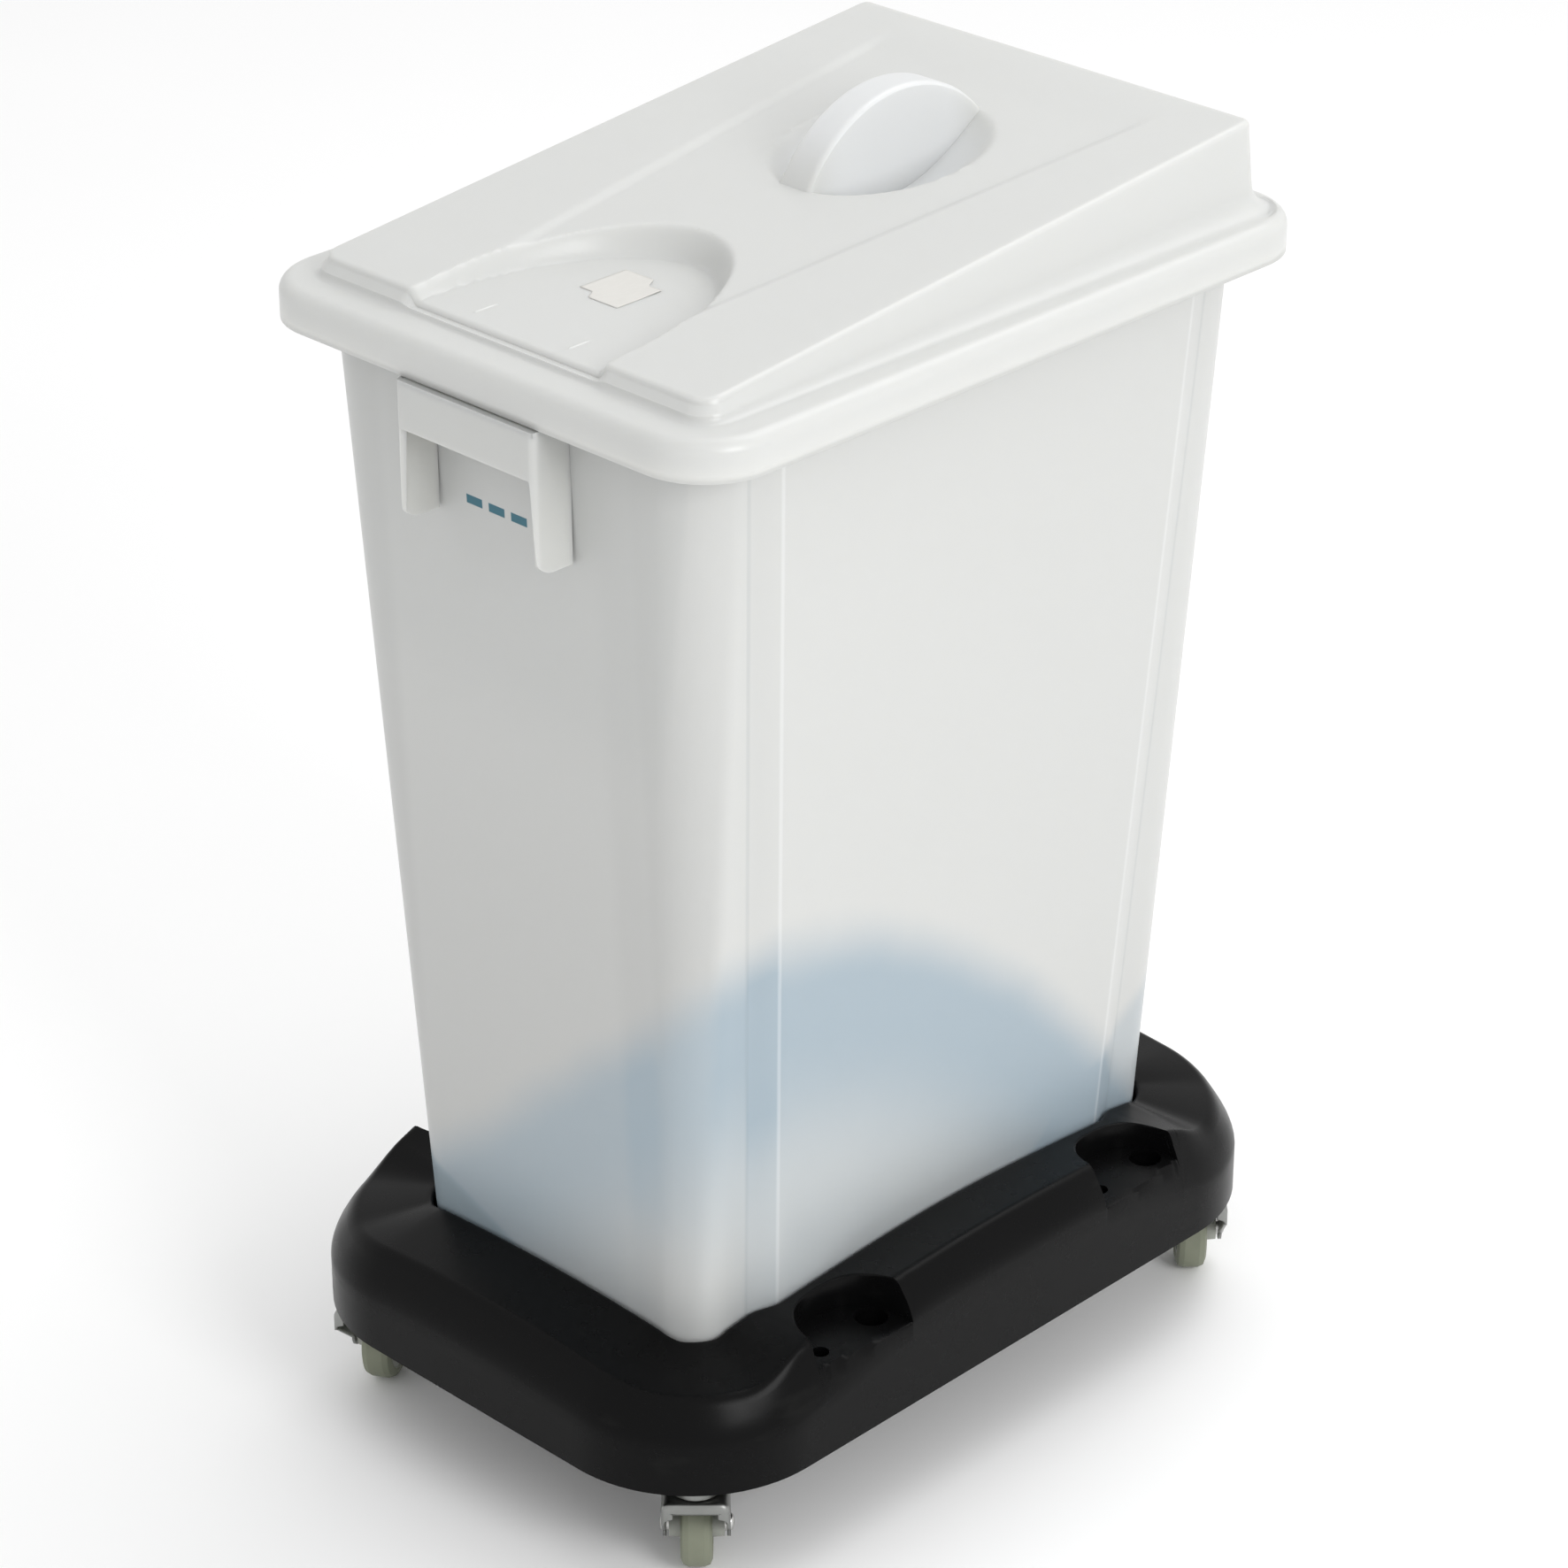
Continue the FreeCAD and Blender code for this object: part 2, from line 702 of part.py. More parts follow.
def end_share(x):
    """1 at the middle of an end, falling to 0 at its corners."""
    return 1 - min(1.0, (x / (END_FOOT * size("dolly_width"))) ** 2)


def crest_height(x, y):
    """Height of the dolly's upper edge: arched up along each long side."""
    crown = side_share(y, CREST_FLAT)
    crown *= 1 - 0.3 * min(1.0, (y / (CREST_BOW * size("dolly_length"))) ** 2)
    rise = size("side_crest_rise") * crown + size("end_crest_rise") * end_share(x)
    return size("skirt_bottom") + size("corner_crest") + rise


def shoulder_height(x, y):
    """Height where the sloped shoulder meets the upright skirt."""
    crown = side_share(y, SHOULDER_FLAT)
    rise = size("side_shoulder_rise") * crown + size("end_crest_rise") * end_share(x)
    return size("skirt_bottom") + size("corner_shoulder") + rise


def lip_height(x, y):
    """Height of the ring where it meets the well."""
    crown = side_share(y, 0.0)
    rise = size("side_lip_rise") * crown + size("end_lip_rise") * end_share(x)
    return size("skirt_bottom") + size("well_lip") + rise


def dolly_outline(inset, height):
    half_x, half_y = size("dolly_width") / 2 - inset, size("dolly_length") / 2 - inset
    return rounded_outline(half_x, half_y, size("dolly_corner") - inset, height)


def ring_solid(gauge, low):
    """The dolly's outside moved in by a wall gauge, filled down to a height.

    Its sloping faces move down by part of the gauge and in by the rest.
    """
    lip_inset = size("ring_side") + size("lip_overrun")
    skin = [
        dolly_outline(gauge, low),
        dolly_outline(gauge, lambda x, y: shoulder_height(x, y) - 0.4 * gauge),
        dolly_outline(size("shoulder_inset") + 0.6 * gauge, lambda x, y: crest_height(x, y) - gauge),
        dolly_outline(lip_inset, lambda x, y: lip_height(x, y) - gauge),
        dolly_outline(lip_inset, low),
    ]
    return Part.makeLoft(skin, True, True)


def pocket_tool(turned, y):
    """Hand pocket in the ring: open over the shoulder, rounded at its inner side."""
    length, depth, radius = size("pocket_length"), size("pocket_depth"), size("pocket_corner")
    half_x = size("dolly_width") / 2
    low = size("skirt_bottom") + size("pocket_floor")
    high = size("skirt_bottom") + size("dolly_corner")
    tool = block((half_x - depth, half_x + BEYOND), (y - length / 2, y + length / 2), (low, high))
    upright = [e for e in tool.Edges if abs(e.tangentAt(e.FirstParameter).z) > 0.9]
    inner = [e for e in upright if abs(e.CenterOfMass.x - (half_x - depth)) < 0.1]
    tool = tool.makeFillet(radius, inner)
    if turned:
        tool.rotate(V(0, 0, 0), V(0, 0, 1), 180)
    return tool


def pocket_holes(turned, y):
    """A round link hole and a smaller lock hole down through a pocket's floor."""
    half_x = size("dolly_width") / 2
    low = size("skirt_bottom")
    depth = size("pocket_floor") + BEYOND
    link_spot = V(half_x - size("link_hole_inset"), y + size("link_hole_along"), low)
    lock_spot = V(half_x - size("lock_hole_inset"), y - size("lock_hole_along"), low)
    link = Part.makeCylinder(size("link_hole_radius"), depth, link_spot)
    lock = Part.makeCylinder(size("lock_hole_radius"), depth, lock_spot)
    tool = Part.makeCompound([link, lock])
    if turned:
        tool.rotate(V(0, 0, 0), V(0, 0, 1), 180)
    return tool


def dolly_shape():
    gauge, low = size("dolly_wall"), size("skirt_bottom")
    floor_top, mount_face = size("foot_height"), size("caster_height")
    clear = size("well_clearance")
    rib_low = low + size("rib_drop") - size("skirt_drop")
    outside = ring_solid(0.0, low)
    pockets = []
    pocket_linings = []
    holes = []
    for turned in (False, True):
        for y in (-size("pocket_position"), size("pocket_position")):
            tool = pocket_tool(turned, y)
            pockets.append(tool)
            lining = tool.makeOffsetShape(size("pocket_gauge"), 0.01, join=2)
            pocket_linings.append(lining)
            holes.append(pocket_holes(turned, y))
    high = floor_top + size("dolly_corner")
    well = bin_prism(floor_top, high, -clear)
    well_block = bin_prism(low, high, -clear - gauge)
    well_wall = bin_prism(mount_face, low + size("well_lip") - clear, -clear - gauge)
    hollow = ring_solid(gauge, low - 1)
    ribs = []
    rib = size("rib_thickness")
    for y in (-size("cross_rib"), 0, size("cross_rib")):
        ribs.append(block((-REACH, REACH), (y - rib / 2, y + rib / 2), (rib_low, high)))
    for x in (-size("long_rib"), size("long_rib")):
        ribs.append(block((x - rib / 2, x + rib / 2), (-REACH, REACH), (rib_low, high)))
    for side, end, _ in CASTERS.values():
        base = V(side * size("pivot_x"), end * size("pivot_y"), mount_face)
        ribs.append(Part.makeCylinder(size("boss_radius"), high - mount_face, base))
    hollow = hollow.cut([well_block] + ribs + pocket_linings)
    under_well = bin_prism(low - 1, mount_face, -clear - gauge)
    insert_radius = size("kingpin_radius") + size("insert_wall")
    insert_depth = size("stem_length") + size("insert_floor")
    solid = outside.fuse(well_wall)
    solid = solid.cut([hollow, well, under_well] + pockets + holes)
    inserts = []
    for side, end, _ in CASTERS.values():
        base = V(side * size("pivot_x"), end * size("pivot_y"), mount_face)
        inserts.append(Part.makeCylinder(insert_radius, insert_depth, base))
    return solid.cut(inserts)


moulding("dolly_deck", dolly_shape())


# ---------------------------------------------------------------------- lid
def ramp_height(y):
    """Height of the lid's sloping top at a place along its length."""
    return size("lid_top") + size("wedge_rise") + size("wedge_slope") * y


def below_ramp(drop):
    """A big block under the sloping top, lowered by an amount."""
    low = size("foot_height")
    near, far = ramp_height(-REACH) - drop, ramp_height(REACH) - drop
    side = [V(-REACH, -REACH, low), V(-REACH, REACH, low), V(-REACH, REACH, far), V(-REACH, -REACH, near)]
    return Part.Face(Part.makePolygon(side + side[:1])).extrude(V(2 * REACH, 0, 0))


def wedge_solid(inset):
    """The raised wedge: drafted sides under the sloping top."""
    half_x, half_y = size("wedge_width") / 2 - inset, size("wedge_length") / 2 - inset
    radius = size("wedge_corner") - inset * 0.5
    low = size("lid_top") - size("lid_roll")
    high = ramp_height(size("wedge_length") / 2) + BEYOND
    lean = math.tan(math.radians(size("wedge_draft"))) * (high - low)
    sides = Part.makeLoft([rounded_outline(half_x, half_y, radius, low),
                           rounded_outline(half_x - lean, half_y - lean, radius, high)], True, True)
    return sides.common(below_ramp(inset))


def recess_outline(grow, height):
    """Open-fronted half ellipse: width and reach grown outwards by an amount."""
    half = size("recess_width") / 2 + grow
    reach = size("recess_reach") + grow
    middle = -size("recess_centre")
    front = -size("lid_length") / 2 - BEYOND
    steps = 24
    turns = [math.pi * k / steps for k in range(steps + 1)]
    arch = [V(half * math.cos(a), middle + reach * math.sin(a), height) for a in turns]
    return Part.Wire([
        edge_through(arch),
        edge_through([arch[-1], V(-half, front, height)]),
        edge_through([V(-half, front, height), V(half, front, height)]),
        edge_through([V(half, front, height), arch[0]]),
    ])


def recess_tool(offset):
    """Space over the flat label recess, its walls leaning out as they rise."""
    low = size("recess_floor") - offset
    high = ramp_height(0) + size("lid_skirt")
    foot = offset - size("recess_foot")
    lean = math.tan(math.radians(size("recess_draft"))) * (high - low) + size("recess_foot")
    return Part.makeLoft([recess_outline(foot, low), recess_outline(foot + lean, high)], True, True)


def centre_panel_tool(offset):
    """Space over the sunk centre panel, which widens towards the back."""
    front = -size("wedge_length") / 2 + size("panel_front_inset")
    back = size("wedge_length") / 2 - size("panel_back_inset")
    near, far = size("panel_front") + offset, size("panel_back") + offset
    low = size("neck_height")
    rear = back + offset
    plan = [V(-near, front, low), V(near, front, low), V(far, rear, low), V(-far, rear, low)]
    column = Part.Face(Part.makePolygon(plan + plan[:1])).extrude(V(0, 0, REACH))
    return column.cut(below_ramp(size("panel_sink") + offset))


def scoop_tool(offset):
    """Bowl on both sides of the handle: an ellipsoid about the sunk panel."""
    middle = (size("handle_start") + size("handle_end")) / 2
    stretch = FreeCAD.Matrix()
    stretch.A11 = size("scoop_width") / 2 + offset
    stretch.A22 = size("scoop_length") / 2 + offset
    stretch.A33 = size("scoop_depth") + offset
    bowl = Part.makeSphere(1.0).transformGeometry(stretch)
    bowl.translate(V(0, middle, ramp_height(middle)))
    return bowl


def handle_solid(inset):
    """Arched rib between the scoops, rising over the lid in one bow."""
    start, end = size("handle_start") + inset, size("handle_end") - inset
    middle = start + size("handle_peak") * (end - start)
    peak = V(0, middle, ramp_height(middle) + size("handle_height") - inset)
    low = size("recess_floor") - inset
    front, back = V(0, start, ramp_height(start)), V(0, end, ramp_height(end))
    outline = [
        Part.Arc(front, peak, back).toShape(),
        edge_through([back, V(0, end, low)]),
        edge_through([V(0, end, low), V(0, start, low)]),
        edge_through([V(0, start, low), front]),
    ]
    half = size("handle_width") / 2 - inset
    rib = Part.Face(Part.Wire(outline)).extrude(V(2 * half, 0, 0))
    rib.translate(V(-half, 0, 0))
    return rib


def lid_solid(offset):
    """The lid's outside, or with an offset the space inside its shell."""
    half_x, half_y = size("lid_width") / 2 - offset, size("lid_length") / 2 - offset
    top = size("lid_top") - offset
    low = size("lid_top") - size("lid_skirt") - offset
    flange = slab(half_x, half_y, size("lid_corner") - offset, low, top)
    flange = roll_top(flange, top, size("lid_roll") - offset)
    body = flange.fuse(wedge_solid(offset))
    body = body.cut([recess_tool(offset), centre_panel_tool(offset)])
    body = body.cut(scoop_tool(offset))
    return body.fuse(handle_solid(offset))


moulding("lid", lid_solid(0.0).cut(lid_solid(size("lid_wall"))))

label = doc.addObject("Part::Box", "lid_label_work")
label.setExpression("Length", "sizes.label_width")
label.setExpression("Width", "sizes.label_length")
label.setExpression("Height", "sizes.label_thickness")
label.Placement = FreeCAD.Placement(V(0, 0, 0), FreeCAD.Rotation(V(0, 0, 1), size("label_turn")))
label.setExpression(".Placement.Base.x", "-sizes.label_aside - sizes.label_width / 2")
label.setExpression(".Placement.Base.y", "-worked.recess_centre + sizes.label_inset")
label.setExpression(".Placement.Base.z", "worked.recess_floor")
keep(label, "lid_label")

# ------------------------------------------------------- stem inserts, output
inserts = []
for side, end, _ in CASTERS.values():
    base = V(side * size("pivot_x"), end * size("pivot_y"), size("caster_height"))
    depth = size("stem_length") + size("insert_floor")
    blank = Part.makeCylinder(size("kingpin_radius") + size("insert_wall"), depth, base)
    inserts.append(blank.cut(Part.makeCylinder(size("kingpin_radius"), depth, base)))
moulding("stem_inserts", Part.makeCompound(inserts))

doc.recompute()
for item in doc.Objects:
    if "Invalid" in item.State or "Error" in item.State:
        raise RuntimeError("failed object: %s" % item.Label)
for piece in SUB_PARTS:
    if piece.Shape.isNull() or not piece.Shape.isValid():
        raise RuntimeError("bad shape: %s" % piece.Label)
os.makedirs("parts", exist_ok=True)
for piece in SUB_PARTS:
    piece.Shape.exportStep("parts/%s.step" % piece.Label)
    print("%-28s %10.0f mm3 %3d solid(s)" % (piece.Label, piece.Shape.Volume, len(piece.Shape.Solids)))
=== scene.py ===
# %% [markdown]
# # Slim ingredient bin on a wheeled dolly
#
# A milky polypropylene bin with a lift-off wedge lid stands in a black
# moulded dolly on four swivel casters. This notebook builds its looks: each
# piece is a surface worked out with numpy, each finish is a small node tree,
# and everything sits in the frame of the imported model.
#
# The first cell loads that frame, whose nodes' boxes give some of the sizes
# below.

# %% Load the frame
import math

import bmesh
import bpy
import numpy as np
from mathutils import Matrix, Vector


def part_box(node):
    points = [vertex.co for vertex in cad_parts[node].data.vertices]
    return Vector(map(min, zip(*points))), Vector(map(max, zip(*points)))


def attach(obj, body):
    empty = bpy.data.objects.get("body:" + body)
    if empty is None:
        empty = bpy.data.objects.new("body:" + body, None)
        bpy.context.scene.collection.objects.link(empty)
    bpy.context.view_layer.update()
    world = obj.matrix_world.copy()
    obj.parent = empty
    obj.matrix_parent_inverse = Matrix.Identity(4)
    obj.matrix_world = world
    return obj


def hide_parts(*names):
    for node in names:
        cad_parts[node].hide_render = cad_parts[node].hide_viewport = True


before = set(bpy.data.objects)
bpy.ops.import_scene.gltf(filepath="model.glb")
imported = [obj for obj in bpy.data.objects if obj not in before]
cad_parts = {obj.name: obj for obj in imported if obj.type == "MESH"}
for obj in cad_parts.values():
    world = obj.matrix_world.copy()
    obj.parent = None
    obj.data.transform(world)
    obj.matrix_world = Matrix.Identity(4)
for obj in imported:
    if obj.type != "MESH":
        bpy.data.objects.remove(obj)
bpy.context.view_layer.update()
MM = 0.001

# %% [markdown]
# ## From arrays to meshes
#
# A piece is one or more grids of points. A grid could be turned into faces by
# hand for each piece, but one pair of helpers does it for all of them: `skin`
# numbers the quads of a grid, joining its last column to its first where the
# shape goes all the way round, and `build` puts the grids into one mesh,
# merges the points that coincide at seams and poles, and turns every face
# outwards. Lengths are in millimetres until the mesh is made.

# %% Grids and pieces
WELD = 1e-6


def grid_of(x, y, z):
    """A grid of points from three arrays or numbers that spread over each other."""
    return np.stack(np.broadcast_arrays(x, y, z), axis=-1)


def add(name, data):
    """A new object in the scene, at the origin."""
    made = bpy.data.objects.new(name, data)
    bpy.context.scene.collection.objects.link(made)
    return made


def skin(grid, around=False):
    """Points and quads of a grid; with around, the last column joins the first."""
    rows, columns = grid.shape[:2]
    number = np.arange(rows * columns).reshape(rows, columns)
    if around:
        number = np.hstack([number, number[:, :1]])
    quads = np.stack([number[:-1, :-1], number[:-1, 1:], number[1:, 1:], number[1:, :-1]], axis=-1)
    return grid.reshape(-1, 3), quads.reshape(-1, 4)


def build(name, parts, body, replaces=(), crease=40.0, outward=True):
    """One piece from several skins, smooth except where faces meet more sharply than crease."""
    points, faces, first = [], [], 0
    for part_points, part_faces in parts:
        points.append(part_points * MM)
        faces.append(part_faces + first)
        first += len(part_points)
    mesh = bpy.data.meshes.new(name)
    mesh.from_pydata(np.concatenate(points), [], np.concatenate(faces).tolist())
    work = bmesh.new()
    work.from_mesh(mesh)
    bmesh.ops.remove_doubles(work, verts=work.verts, dist=WELD)
    bmesh.ops.dissolve_degenerate(work, edges=work.edges, dist=WELD)
    if outward:
        bmesh.ops.recalc_face_normals(work, faces=work.faces)
    work.to_mesh(mesh)
    work.free()
    mesh.shade_smooth()
    mesh.set_sharp_from_angle(angle=math.radians(crease))
    piece = add(name, mesh)
    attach(piece, body)
    if replaces:
        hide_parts(*replaces)
    print("%-24s %6d points %6d faces" % (name, len(mesh.vertices), len(mesh.polygons)))
    return piece


def smooth(amount):
    """0 below 0, 1 above 1, and 3a^2 - 2a^3 between them."""
    amount = np.clip(amount, 0, 1)
    return amount * amount * (3 - 2 * amount)


def stretch(stops, counts):
    """Numbers that run through the stops, with so many equal steps in each gap."""
    runs = [np.linspace(a, b, n, endpoint=False) for a, b, n in zip(stops[:-1], stops[1:], counts)]
    return np.concatenate(runs + [[stops[-1]]])


# %% [markdown]
# ## Driving sizes
#
# The outer sizes of the dolly and the lid come from the frame's own boxes. The
# heights of the bin's foot and rim, and every shape between the outer sizes,
# are stated here in the design's millimetres.

# %% Sizes read from the frame
def limits(node):
    """Lowest and highest corner of a node in millimetres."""
    low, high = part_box(node)
    return np.array(low) / MM, np.array(high) / MM


deck_low, deck_high = limits("dolly_deck")
lid_low, lid_high = limits("lid")
label_low, label_high = limits("lid_label")
FOOT = 80.0
RIM_TOP = 700.0
LID_SHEET = 2.4
LID_CORNER = 42.0
LID_TOP = RIM_TOP + LID_SHEET
LID_SKIRT = lid_low[2]
SKIRT_BOTTOM = deck_low[2]
DECK_X, DECK_Y = deck_high[0], deck_high[1]
LID_X, LID_Y = lid_high[0], lid_high[1]
print("deck half sizes", DECK_X, DECK_Y, "lid half sizes", LID_X, LID_Y, "skirt at", LID_SKIRT)

# %% [markdown]
# ## The bin
#
# The real bin is one injection moulding: a tapered tub whose long sides stand
# 7 mm out in a panel with soft ramps, a turned-over rim and a pull-out grip at
# each end. It could be lofted from a few curves, but a closed profile carried
# round an outline gives the outside, the rim, the inside and the floor in a
# single skin, and the grid lines follow the panel's ramps from foot to rim.

# %% Outline of the tub
SIDE_TAPER, END_TAPER, CORNER_TAPER = 34.4, 24.0, 8.0
NECK_Z = 680.0
FOOT_X, FOOT_Y, FOOT_CORNER = 109.2, 190.9, 24.0
POST_FOOT, POST_NECK = 50.9, 46.4
PANEL_STEP, RAMP, PANEL_INSET = 7.0, 18.0, 0.2
RIM_GAP, RIM_PANEL_SHARE = 3.5, 0.78
SIDE_COUNTS = (4, 14, 44, 14, 4)
END_COUNT, CORNER_COUNT = 26, 12


def slope(amount):
    """A straight slope from 0 to 1, a little eased at its ends, whose edges still read as lines."""
    return 0.7 * np.clip(amount, 0, 1) + 0.3 * smooth(amount)


def outline(half_x, half_y, radius, side_x, side_y, corner_count):
    """Closed outlines, one per row: corner, end, corner and long side, then these turned half round.

    A corner is a quarter circle about half_x - radius, half_y - radius.
    """
    straight_x, straight_y = half_x - radius, half_y - radius
    end_x = straight_x * (1 - 2 * np.arange(END_COUNT) / END_COUNT)
    end_y = half_y + 0 * end_x
    turn = np.arange(corner_count) / corner_count * math.pi / 2
    arc_x, arc_y = radius * np.cos(turn), radius * np.sin(turn)
    x = np.concatenate([straight_x + arc_x, end_x, -straight_x - arc_y, -side_x,
                        -straight_x - arc_x, -end_x, straight_x + arc_y, side_x], axis=1)
    y = np.concatenate([straight_y + arc_y, end_y, straight_y + arc_x, -side_y,
                        -straight_y - arc_y, -end_y, -straight_y - arc_x, side_y], axis=1)
    return x, y


def around(half_x, half_y, radius, panel, bulge):
    """Rounded rectangles, one per row, whose long sides swell by bulge between the panel's ends.

    Quarter arcs joined by straight sides; on a long side x is half_x plus
    bulge times a slope of how far y lies inside the panel's end.
    """
    half_x, half_y, radius, panel, bulge = (
        np.broadcast_to(np.asarray(v, float).reshape(-1, 1), (np.size(half_x), 1))
        for v in (half_x, half_y, radius, panel, bulge)
    )
    ends = half_y - radius
    stops = [-ends, -panel - RAMP / 2, -panel + RAMP / 2, panel - RAMP / 2, panel + RAMP / 2, ends]
    along = [a + (b - a) * np.arange(n) / n for a, b, n in zip(stops[:-1], stops[1:], SIDE_COUNTS)]
    side_y = np.concatenate(along, axis=1)
    side_x = half_x + bulge * slope((panel + RAMP / 2 - np.abs(side_y)) / RAMP)
    return outline(half_x, half_y, radius, side_x, side_y, CORNER_COUNT)


def tub(height, inset):
    """Half sizes, corner radius, panel end and bulge of the tub at some heights, moved in by inset."""
    share = (height - FOOT) / (NECK_Z - FOOT)
    half_y = FOOT_Y + END_TAPER * share
    panel = half_y - POST_FOOT - (POST_NECK - POST_FOOT) * share
    return (FOOT_X + SIDE_TAPER * share - inset, half_y - inset,
            FOOT_CORNER + CORNER_TAPER * share - inset, panel - PANEL_INSET * inset,
            PANEL_STEP + 0 * share)


def rim(inset):
    """The same five numbers for the plain rim outline, moved in from the lid's inside by inset."""
    gap = RIM_GAP + np.asarray(inset, float)
    half_y = LID_Y - gap
    return LID_X - gap, half_y, LID_CORNER - gap, RIM_PANEL_SHARE * half_y, 0 * gap


# %% [markdown]
# The profile is written as blocks of rows. Each block gives heights and
# outline numbers as arrays: the floor from its middle outwards, the rounded
# foot, the outside wall, the rim over its lip, and the inside back down.

# %% Profile of the tub
BIN_WALL, FOOT_ROUND, RIM_ROLL, RIM_LIP, LIP_EDGE = 2.6, 6.0, 7.0, 14.0, 0.6


def rows_of(numbers, height, scale=1.0):
    """Grid rows from outline numbers and heights, shrunk towards the middle by scale."""
    x, y = around(*numbers)
    scale = np.reshape(scale, (-1, 1))
    return grid_of(x * scale, y * scale, height[:, None])


def quarter(steps):
    """1 - cos and 1 - sin over a quarter turn, for rounding an edge."""
    turn = np.linspace(0, math.pi / 2, steps)
    return 1 - np.cos(turn), 1 - np.sin(turn)


def bin_skin():
    """The tub as one closed profile carried round its outline."""
    scale = np.linspace(0, 1, 9)
    level = 0 * scale
    rise, back = quarter(7)
    inner = RIM_ROLL - BIN_WALL
    under_z, lip_z = RIM_TOP - BIN_WALL, RIM_TOP - RIM_LIP
    wall_z = np.linspace(FOOT + FOOT_ROUND, under_z, 60)[1:]
    inside_z = np.linspace(RIM_TOP, FOOT + BIN_WALL + FOOT_ROUND, 40)[:-1]
    blocks = [
        rows_of(tub(FOOT + level, FOOT_ROUND), FOOT + level, scale),
        rows_of(tub(FOOT + FOOT_ROUND * rise, FOOT_ROUND * back), FOOT + FOOT_ROUND * rise),
        rows_of(tub(wall_z, 0.0), wall_z),
        rows_of(rim(BIN_WALL + inner * back), under_z - inner * rise),
        rows_of(rim(np.array([BIN_WALL, BIN_WALL - LIP_EDGE, LIP_EDGE, 0.0])),
                lip_z + np.array([LIP_EDGE, 0.0, 0.0, LIP_EDGE])),
        rows_of(rim(RIM_ROLL * rise), RIM_TOP - RIM_ROLL * back),
        rows_of(tub(inside_z, BIN_WALL), inside_z),
        rows_of(tub(FOOT + BIN_WALL + FOOT_ROUND * back, BIN_WALL + FOOT_ROUND * rise),
                FOOT + BIN_WALL + FOOT_ROUND * back),
        rows_of(tub(FOOT + BIN_WALL + level, BIN_WALL + FOOT_ROUND), FOOT + BIN_WALL + level,
                scale[::-1]),
    ]
    return skin(np.concatenate(blocks), around=True)


# %% [markdown]
# A pull-out grip is one sheet bent round three sides, with a roof. It could be
# a box with a hollow, but the real one has deep fins at its sides and a short
# band in front, so its lower edge is a curve over the sheet's own length.

# %% Grips and the bin piece
GRIP_X, GRIP_Y, GRIP_TOP, GRIP_ROOT = 52.0, 239.5, 679.0, 1.5
GRIP_BAND, GRIP_FIN, GRIP_ROUND, GRIP_SHEET, GRIP_BEND = 27.0, 80.0, 13.0, 2.6, 4.0


def grip_skins(end):
    """The sheet, its roof and the roof's edges, for the front end or, turned round, the back.

    In plan the sheet runs out along a fin, round a bend, across the band and
    back. Its lower edge is level on a fin, rises through a quarter circle at
    the fin's front corner, and meets the band's edge within the bend.
    """
    root = FOOT_Y + END_TAPER - GRIP_ROOT
    fin_y = stretch([root, GRIP_Y - GRIP_ROUND, GRIP_Y - GRIP_BEND], [6, 9])
    turn = np.linspace(0, math.pi / 2, 9)[1:-1]
    bend_x = GRIP_X - GRIP_BEND * (1 - np.cos(turn))
    bend_y = GRIP_Y - GRIP_BEND * (1 - np.sin(turn))
    band_x = np.linspace(GRIP_BEND - GRIP_X, GRIP_X - GRIP_BEND, 25)[::-1]
    x = np.concatenate([0 * fin_y + GRIP_X, bend_x, band_x, -bend_x[::-1], 0 * fin_y - GRIP_X])
    y = np.concatenate([fin_y, bend_y, 0 * band_x + GRIP_Y, bend_y[::-1], fin_y[::-1]])
    front = np.clip(y - (GRIP_Y - GRIP_ROUND), 0, GRIP_ROUND)
    fin_low = GRIP_TOP - GRIP_FIN + GRIP_ROUND - np.sqrt(GRIP_ROUND ** 2 - front ** 2)
    across = smooth((GRIP_X - 0.5 - np.abs(x)) / (GRIP_BEND - 1.0))
    low = fin_low + (GRIP_TOP - GRIP_BAND - fin_low) * across
    share = np.linspace(0, 1, 12)[:, None]
    sheet = grid_of(x, -y, low + (GRIP_TOP - low) * share)
    inner = sheet.copy()
    inner[..., 0] *= 1 - GRIP_SHEET / GRIP_X
    inner[..., 1] = -np.minimum(y, GRIP_Y - GRIP_SHEET)
    roof_x = np.linspace(1 - GRIP_X, GRIP_X - 1, 12)[None, :]
    roof_y = -np.linspace(root, GRIP_Y - 1, 5)[:, None]
    top = grid_of(roof_x, roof_y, GRIP_TOP - 0.2)
    under = top - np.array([0, 0, GRIP_SHEET])
    turned = np.array([-end, -end, 1])
    return [skin(np.concatenate([sheet, inner[::-1], sheet[:1]]) * turned),
            skin(np.concatenate([top, under[::-1], top[:1]]) * turned)]


bin_piece = build("milky_bin", [bin_skin(), *grip_skins(-1), *grip_skins(1)], "bin",
                  replaces=["bin_body"], crease=35.0)

# %% [markdown]
# ## The lid
#
# The lid is a wedge over a flat flange with a turned-down skirt. Its top has a
# sunk middle panel, an arched recess for a label and a grip rib between two
# bowls. A sculpted mesh could give the same, but every one of these shapes is
# a height over the plan, so the top is one height function on a grid whose
# columns follow the panel's border and the rib's sides. Rings of points then
# run from the grid's own edge down the wedge's wall, over the flange and down
# the skirt, and Solidify gives the sheet its thickness.

